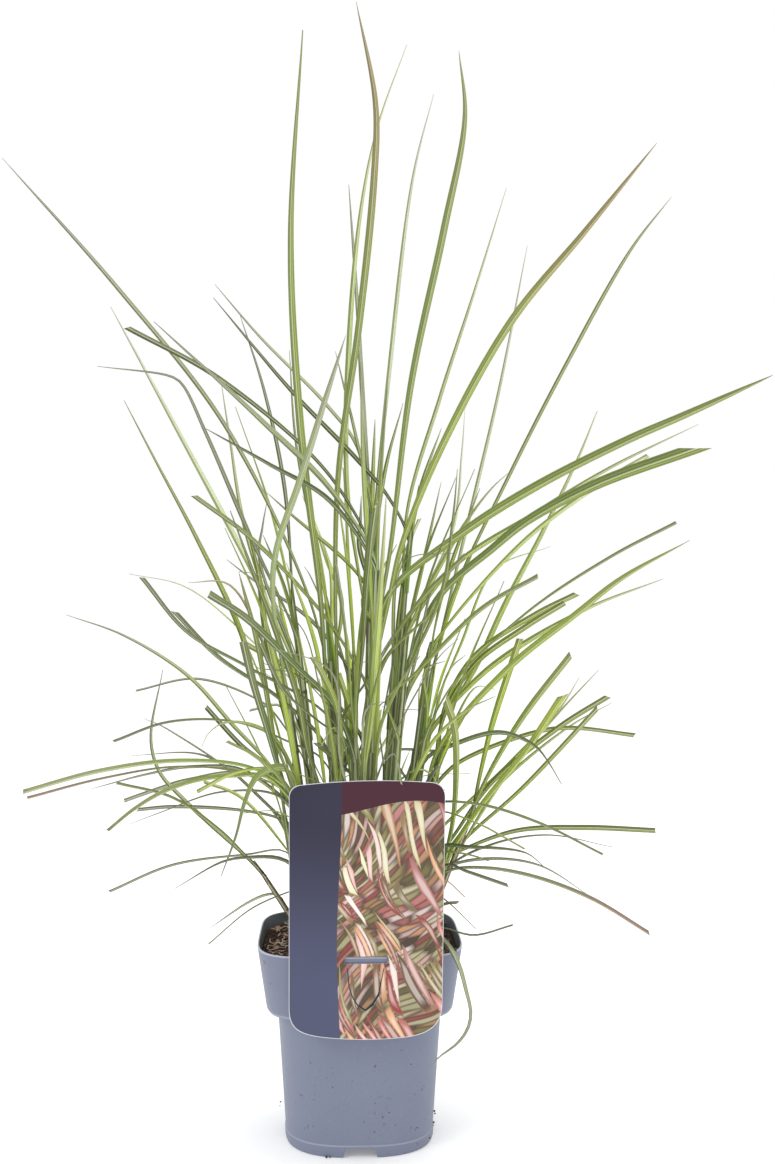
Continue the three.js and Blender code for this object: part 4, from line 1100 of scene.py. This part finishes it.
# The leaves' blades
# A thin strap with a keel under its pale midrib, folded to a channel, a little twisted, with fine parallel
# veins and a hard pale edge. Its foot is a sheath wrapped round the stalk, brownish purple where it is old.
STATION, SHEATH_STATION, STALK_STATION = 5.0, 7, 14
SHEATH_LENGTH = 34
SHEATH_GAP = 0.2
SHEATH_LAYER = 0.16
SHEATH_WRAP = 2.9
OPENING = 20
BLADE_THICKNESS = 0.24
FOLD = 0.42
TWIST = math.radians(9)
CUT_SLANT = 0.9
TORN_SLANT = 2.6
CURLED_WIDENING = 1.5
SLIM, SLIM_SHOOT = 0.84, 0.55
STALK_FOOT = SOIL_TOP - 20
STALK_TIP = 6
STALK_TIP_RADIUS = 0.5
LEAF_INKS = {  # the colour by the sheath, in the middle and at the tip
    "bright": ((130, 152, 36), (164, 184, 42), (170, 176, 92)),
    "vivid": ((134, 156, 22), (170, 190, 8), (178, 188, 40)),
    "torn": ((112, 132, 38), (122, 142, 34), (120, 136, 40)),
    "ruddy": ((134, 148, 46), (158, 172, 54), (176, 138, 100)),
    "green": ((112, 132, 38), (140, 156, 48), (144, 152, 74)),
    "dusty": ((124, 138, 60), (158, 150, 120), (200, 96, 150)),
    "dark": ((62, 84, 30), (80, 102, 36), (100, 108, 76)),
    "pale": ((148, 168, 70), (182, 200, 96), (200, 200, 142)),
    "curled": ((146, 166, 76), (192, 208, 122), (158, 156, 148)),
    "ashen": ((130, 150, 56), (156, 166, 114), (142, 136, 138)),
    "purple": ((104, 118, 54), (120, 124, 102), (128, 118, 124)),
    "grey": ((142, 154, 108), (158, 162, 144), (156, 150, 154)),
    "faint": ((170, 186, 118), (192, 204, 158), (194, 190, 188)),
    "dry": ((150, 130, 100), (180, 162, 126), (178, 158, 138)),
}
SHEATH_INKS = [(84, 56, 52), (116, 98, 54), (104, 136, 38), (150, 168, 70), (78, 96, 42), (134, 160, 46)]
SHOOT_INK = (158, 94, 92)
STALK_INK = (118, 130, 76)
CUT_INK = (158, 140, 112)
ALONE_TONES = (1.18, 1.62)
OTHER_TONES = (0.75, 2.1)
HEART = (0, 0, 300)
PALING = 0.3
LIGHT_SIDE = np.array((-0.62, -0.35, 0.7))
TAPERS = {  # where a leaf is full, where it starts to draw in, how suddenly, and how much of it goes
    POINTED: (0.6, 0.6, 3.0, 0.95),
    FINE: (0.45, 0.4, 1.8, 0.88),
    CUT: (0.8, 1.0, 1.0, 0.0),
}
leaf_draws = np.random.default_rng(5)


def linear(ink):
    c = np.array(ink) / 255
    return np.where(c <= 0.04045, c / 12.92, ((c + 0.055) / 1.055) ** 2.4)


def toward(start, end, share):
    return start + (end - start) * share


def blade_width(part, end):
    full, start, power, loss = TAPERS[end]
    rest = np.maximum(part - start, 0) / max(1 - start, 0.1)
    return (0.42 + 0.58 * eased(part / full)) * (1 - loss * rest ** power)


def drawn_radius(stem, z):
    slim = SLIM_SHOOT if "lean" in stem else SLIM
    return slim * STEM_RADIUS * (1 - 0.4 * np.clip((z - LEAN_START) / (stem["top"] - LEAN_START), 0, 1))


def own_shade(stem):
    """How light this stem's sheaths are among the others."""
    return 0.6 + 0.85 * (stem["number"] * 0.618 % 1)


def leaf_rail(leaf, layer):
    """A leaf's stations from the foot of its sheath to its tip, each with what the sweep needs."""
    stem, line, foot_z, shoot = leaf["stem"], leaf["line"], leaf["foot"][2], "lean" in leaf["stem"]
    bottom = max(foot_z - leaf.get("sheath", SHEATH_LENGTH), SOIL_TOP - 3)
    count = max(3, round((foot_z - bottom) / SHEATH_STATION))
    sheath = [on_stem(stem, z) for z in np.linspace(bottom, foot_z - 1, count)]
    start = SUNK / line.length
    parts = np.linspace(start, 1, 1 + max(10, round(line.length * (1 - start) / STATION)))
    middles = np.vstack([sheath, line.places(parts)])
    ways = unit(np.vstack([np.diff(middles[:len(sheath) + 1], axis=0), line.ways(parts)]))
    parts = np.concatenate([np.zeros(len(sheath)), parts])[:, None]
    runs = runs_of(middles)[:, None]
    past_foot = runs - runs[len(sheath)]
    flat = unit(leaf["across"] - ways * (ways @ leaf["across"])[:, None])
    twist = TWIST * np.sin(past_foot / leaf_draws.uniform(45, 90) + leaf_draws.uniform(0, 6))
    roll = math.radians(leaf["roll"]) * eased(parts * 1.6) + twist * eased(past_foot / 60)
    edge = flat * np.cos(roll) + np.cross(ways, flat) * np.sin(roll)
    half = 0.5 * leaf["width"] * blade_width(parts, leaf["end"])
    if leaf["look"] == "curled":
        half *= CURLED_WIDENING

    tone = leaf_draws.uniform(*(ALONE_TONES if "alone" in leaf else OTHER_TONES))
    old = SHEATH_INKS[leaf_draws.integers(len(SHEATH_INKS))]
    old = linear(SHOOT_INK if shoot else old)
    by_sheath, middle, tip = (linear(ink) for ink in LEAF_INKS[leaf["look"]])
    colour = toward(toward(by_sheath, middle, eased(parts / 0.35)), tip, eased((parts - 0.55) / 0.38))
    paling = PALING * (1.8 - 1.7 * eased((leaf["width"] - 3) / 3.5))
    outward_by = np.linalg.norm(middles - HEART, axis=1)[:, None]
    colour = toward(colour, colour.mean(axis=1)[:, None], paling * eased((outward_by - 70) / 130))
    # Painted shade: sheaths darken towards the soil below 320 mm, where the clump shades its own foot
    depth = own_shade(stem) * (0.62 + 0.38 * eased((middles[:, 2:] - 190) / 130))
    colour = toward(old * depth, colour, eased((past_foot + (4 if shoot else 24)) / 34)) * tone
    lit = leaf_draws.uniform(0.12, 0.8) * (-1 if (edge @ LIGHT_SIDE).mean() > 0 else 1)
    slant = np.zeros_like(parts)
    if leaf["end"] == CUT:
        colour[-1] = toward(colour[-2], linear(CUT_INK), 0.5)
        slant[-1] = leaf_draws.uniform(-CUT_SLANT, CUT_SLANT)
    if leaf["look"] == "torn":
        slant[-4:, 0] = np.linspace(0, TORN_SLANT, 4)
    return dict(
        middle=middles, run=runs, edge_way=edge, under_way=np.cross(edge, ways), colour=colour, lit=lit,
        half=half, fold=FOLD * half * (1 - 0.5 * eased((parts - 0.55) / 0.45)), slant=slant * half,
        thickness=BLADE_THICKNESS * (0.35 + 0.65 * np.minimum(1, half / 2)),
        sheath=drawn_radius(stem, middles[:, 2:]) + SHEATH_GAP + SHEATH_LAYER * layer,
        wrap=SHEATH_WRAP - 1.5 * eased((past_foot + 16) / 22), open=eased(past_foot / OPENING),
    )


def stalk_rail(stem):
    """The stalk's stations from below the soil to its tip."""
    top = stem["top"]
    count = max(6, round((top - SOIL_TOP) / STALK_STATION))
    heights = np.append(np.linspace(STALK_FOOT, top, count), top + STALK_TIP)[:, None]
    middles = np.array([on_stem(stem, z) for z in heights[:, 0]])
    ways = unit(np.gradient(middles, axis=0))
    edge = unit(np.cross(ways, (0, 1, 0)))
    radii = drawn_radius(stem, heights)
    radii[-1] = STALK_TIP_RADIUS
    old = linear(SHEATH_INKS[leaf_draws.integers(2)])
    colour = toward(old, linear(STALK_INK), eased((heights - SOIL_TOP) / 90)) * own_shade(stem)
    if "lean" in stem:
        colour[:] = linear(SHOOT_INK)
    return dict(
        middle=middles, run=heights, edge_way=edge, under_way=np.cross(edge, ways), colour=colour, half=radii,
        stalk=1,
    )


def leaf_sweep():
    """The leaf's section along each rail: wrapped round the stalk at first, then opening to a channel."""
    tree = Growth("leaf_sweep", {"Section Points": 16, "Rib": 1.3, "Material": None})

    def stored(geometry, name, value, kind="FLOAT"):
        values = {"Geometry": geometry, "Name": name, "Value": value}
        return tree.out("StoreNamedAttribute", values, data_type=kind, domain="POINT")

    def laid(sideways, downwards):
        """A place in the section, from the rail."""
        return tree.joined(tree.scaled(edge, sideways), tree.scaled(under, downwards))

    def switched(fact, first, second):
        values = {0: tree.kept(fact), 4: first, 5: second}
        return tree.node("ShaderNodeMix", values, data_type="VECTOR").outputs[1]

    line = tree.out("MeshToCurve", {"Mesh": tree.given["Geometry"]})
    ring = tree.out("CurvePrimitiveCircle", {"Resolution": tree.given["Section Points"], "Radius": 1.0})
    ring = stored(ring, "section", tree.out("InputPosition"), "FLOAT_VECTOR")
    swept = tree.out("CurveToMesh", {"Curve": line, "Profile Curve": ring, "Fill Caps": True})
    over, upper, _ = tree.node("ShaderNodeSeparateXYZ", {0: tree.kept("section", "FLOAT_VECTOR")}).outputs
    edge, under = tree.kept("edge_way", "FLOAT_VECTOR"), tree.kept("under_way", "FLOAT_VECTOR")
    spread = tree.sum("POWER", tree.sum("ABSOLUTE", over), 1.6)
    across = tree.times(tree.sum("SIGN", over), spread)
    inwards = tree.sum("SUBTRACT", 1.0, spread)
    rib = tree.sum("MULTIPLY_ADD", tree.sum("POWER", inwards, 4.0), tree.given["Rib"], 1.0)
    skin = tree.times(upper, tree.kept("thickness"), rib)
    half = tree.kept("half")
    flat = laid(tree.times(half, across), tree.sum("SUBTRACT", tree.times(tree.kept("fold"), inwards), skin))
    along = tree.joined(under, edge, "CROSS_PRODUCT")
    flat = tree.joined(flat, tree.scaled(along, tree.times(tree.kept("slant"), across)))
    radius = tree.sum("SUBTRACT", tree.kept("sheath"), skin)
    angle = tree.times(tree.kept("wrap"), across)
    wrapped = laid(tree.times(radius, tree.sum("SINE", angle)), tree.times(radius, tree.sum("COSINE", angle)))
    stalk = laid(tree.times(half, over), tree.times(half, upper))
    shape = switched("stalk", switched("open", wrapped, flat), stalk)
    place = tree.joined(tree.kept("middle", "FLOAT_VECTOR"), shape)
    swept = tree.out("SetPosition", {"Geometry": swept, "Position": place})
    tree.end(stored(stored(swept, "across", across), "upper", upper))
    return tree


green = Finish("leaf_green")
lie, run, lit, upper = (green.attribute(name) for name in ("across", "run", "lit", "upper"))
own = green.attribute("leaf_colour", "Color")
off_middle = green.sum("ABSOLUTE", lie)
grain = green.out("CombineXYZ", {0: green.times(lie, 0.02), 1: run, 2: green.times(own, 0.3)})
mottle = green.noise(green.stretched(grain, 60.0, 14.0, 1.0), 2.4, 3.0)
streak = green.noise(green.stretched(grain, 420.0, 9.0, 1.0), 2.0, 2.0)
veins = green.sum("MULTIPLY_ADD", green.sum("SINE", green.times(lie, 34.0)), 0.5, 0.5)
stripes = green.sum("SINE", green.sum("MULTIPLY_ADD", mottle, 3.0, green.times(lie, 12.5)))
lighter = green.mix(0.4, own, (232, 236, 186))
darker = green.mix(1.0, own, (134, 140, 114), blend="MULTIPLY")
sunny = green.mix(green.between(green.times(lie, lit), -0.1, 0.1), (184, 190, 168), (255, 255, 250))
shade = green.mix(
    green.between(mottle, 0.3, 0.75), green.mix(1.0, own, (214, 218, 196), blend="MULTIPLY"), own,
)
shade = green.coated(
    shade, (green.between(streak, 0.45, 0.7), 0.5, darker), (veins, 0.12, lighter),
    (green.between(stripes, 0.0, 0.9), 0.4, lighter), (green.between(stripes, -0.1, -0.9), 0.4, darker),
    (green.between(off_middle, 0.2, 0.1), 0.9, green.mix(0.7, own, (242, 246, 214))),
    (green.between(off_middle, 0.86, 0.97), 0.3, lighter),
)
shade = green.mix(1.0, shade, sunny, blend="MULTIPLY")
shade = green.coated(shade, (green.between(upper, 0.05, -0.25), 0.22, (142, 150, 120)))
green.bump(green.sum("ADD", veins, green.times(streak, 0.8)), 0.00009, 0.6)
grass = green.done(shade, 0.5, 0.12)

sweep = leaf_sweep()
LENGTHS = ("half", "fold", "slant", "sheath", "thickness", "run")
SHARES = ("wrap", "open", "stalk", "lit")
VECTORS = ("middle", "edge_way", "under_way")


def swept_leaves(name, rails):
    """One piece of all the leaves on these rails."""
    for rail in rails:
        rail["middle"] = (rail["middle"] + np.array(POT_AXIS)) * MM
    mesh = lines_mesh(name, [rail["middle"] for rail in rails])
    for fact in LENGTHS + SHARES:
        scale = MM if fact in LENGTHS else 1
        values = [scale * rail.get(fact, 0) + 0 * rail["half"] for rail in rails]
        store(mesh, fact, "FLOAT", "value", np.vstack(values))
    for fact in VECTORS:
        store(mesh, fact, "FLOAT_VECTOR", "vector", np.vstack([rail[fact] for rail in rails]))
    colours = np.insert(np.vstack([rail["colour"] for rail in rails]), 3, 1, axis=1)
    store(mesh, "leaf_colour", "FLOAT_COLOR", "color", colours)
    leafy = sweep.grown_on(added(name, mesh), Material=grass)
    for fact in ("section", *LENGTHS, *SHARES, *VECTORS):
        if fact not in ("run", "lit"):
            leafy.data.attributes.remove(leafy.data.attributes[fact])
    outward(leafy.data)
    leafy.data.shade_smooth()
    return leafy


for stem in stems:
    by_height = sorted(stem["leaves"], key=lambda leaf: -leaf["foot"][2])
    rails = [stalk_rail(stem)] + [leaf_rail(leaf, layer % 4) for layer, leaf in enumerate(by_height)]
    number = f"{stem['number'] + 1:02d}"
    leafy = swept_leaves("grass_stem_" + number, rails)
    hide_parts("stem_" + number)
    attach(leafy, "root")

# Dry wisps
# Thin old leaves and split strips, some of them withered, that stand and curl among the others. They grow on
# the stems too.
WISPS = 34
WISP_TOP = 310
WISP_SHEATH = 4
WISP_LOOKS = ["grey", "purple", "faint", "dry", "green", "pale", "purple"]
SHOOT_WISPS = [  # on the right side shoot: look, width, height of the root, and the places that it passes
    ("purple", 2.2, 140, (56, -22, 141), (75, -30, 138), (100, -36, 146)),
    ("dry", 3.2, 152, (57, -18, 156), (65, -24, 158)),
]
wisp_draws = np.random.default_rng(17)
wisps = []


def add_wisp(stem, root_z, places, **facts):
    foot = on_stem(stem, root_z)
    line = Course([on_stem(stem, root_z - SUNK), foot, *places])
    across = level_across(foot, places[-1])
    wisps.append(dict(stem=stem, foot=foot, line=line, across=across, sheath=WISP_SHEATH, **facts))


while len(wisps) < WISPS:
    stem = stems[wisp_draws.integers(STEM_COUNT)]
    root_z = wisp_draws.uniform(LOWEST_ROOT + 10, min(stem["top"], WISP_TOP))
    foot = on_stem(stem, root_z)
    out = around(math.atan2(foot[1], foot[0]) + wisp_draws.normal(0, 0.8))
    reach, droop = wisp_draws.uniform(60, 190), wisp_draws.uniform(0, 0.25)
    slope = wisp_draws.uniform(0.5, 1.35)
    kink = np.array((-out[1], out[0], 0)) * wisp_draws.normal(0, 0.06) * reach
    out, up = math.cos(slope) * reach * out, np.array((0, 0, math.sin(slope) * reach))
    places = [0.3 * out + 0.42 * up, 0.66 * out + kink + 0.8 * up, out - kink + (1 - droop) * up]
    places = [foot + place for place in places]
    if not any(x[1] < 12 - RIM_WIDTH / 2 and x[2] < LABEL_TOP + 10 for x in (foot, *places)):
        add_wisp(
            stem, root_z, places, width=wisp_draws.uniform(1.7, 3.0),
            end=FINE if wisp_draws.random() < 0.7 else CUT, roll=wisp_draws.uniform(-70, 70),
            look=WISP_LOOKS[wisp_draws.integers(len(WISP_LOOKS))],
        )
for look, width, root_z, *places in SHOOT_WISPS:
    add_wisp(stems[-1], root_z, places, width=width, end=CUT, roll=30, look=look)
withered = swept_leaves("dry_wisps", [leaf_rail(leaf, 0) for leaf in wisps])
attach(withered, "root")

# The studio
# A pale floor under the pot, a bright white room, and large soft lights. The camera looks level, from a bit
# to the right of the pot, with the lens that gives the photograph's perspective.
FLOOR_SIZE = 40
FLOOR_GLOW = 0.19
AIM = Vector((0, 0, 0.36))
LIGHTS = [("key", (-1.5, -1.7, 1.9), 1.1, 18), ("top", (0.3, 0.2, 2.2), 1.2, 12)]
LENS_PIXELS = 1458.3
PICTURE_HEIGHT = 1164
SENSOR = 36

backdrop = bmesh.new()
bmesh.ops.create_grid(backdrop, x_segments=1, y_segments=1, size=FLOOR_SIZE)
floor = added("studio_floor", mesh_from(backdrop, "studio_floor"))
paper = Finish("floor_paper")
tone = paper.mix(paper.noise(paper.place(), 3.0), (238, 238, 238), (242, 242, 242))
glow = dict(Emission_Color=(1, 1, 1, 1), Emission_Strength=FLOOR_GLOW)
floor.data.materials.append(paper.done(tone, 0.9, 0.0, **glow))

scene = bpy.context.scene
scene.view_settings.view_transform = "Standard"
scene.world = bpy.data.worlds.new("bright_room")
scene.world.use_nodes = True
room = scene.world.node_tree.nodes["Background"].inputs
room[0].default_value, room[1].default_value = (1, 1, 1, 1), 1

for name, place, size, watts in LIGHTS:
    lamp = bpy.data.lights.new(name, "AREA")
    lamp.energy, lamp.size = watts, size
    light = added(name, lamp)
    light.location = place
    light.rotation_euler = (AIM - light.location).to_track_quat("-Z", "Y").to_euler()

shot = bpy.data.cameras.new("photograph")
shot.sensor_fit = "VERTICAL"
shot.sensor_height = SENSOR
shot.lens = LENS_PIXELS / PICTURE_HEIGHT * SENSOR
camera = added("photograph", shot)
camera.location = (Vector(EYE) + POT_AXIS) * MM
camera.rotation_euler = (math.pi / 2, 0, 0)
scene.camera = camera
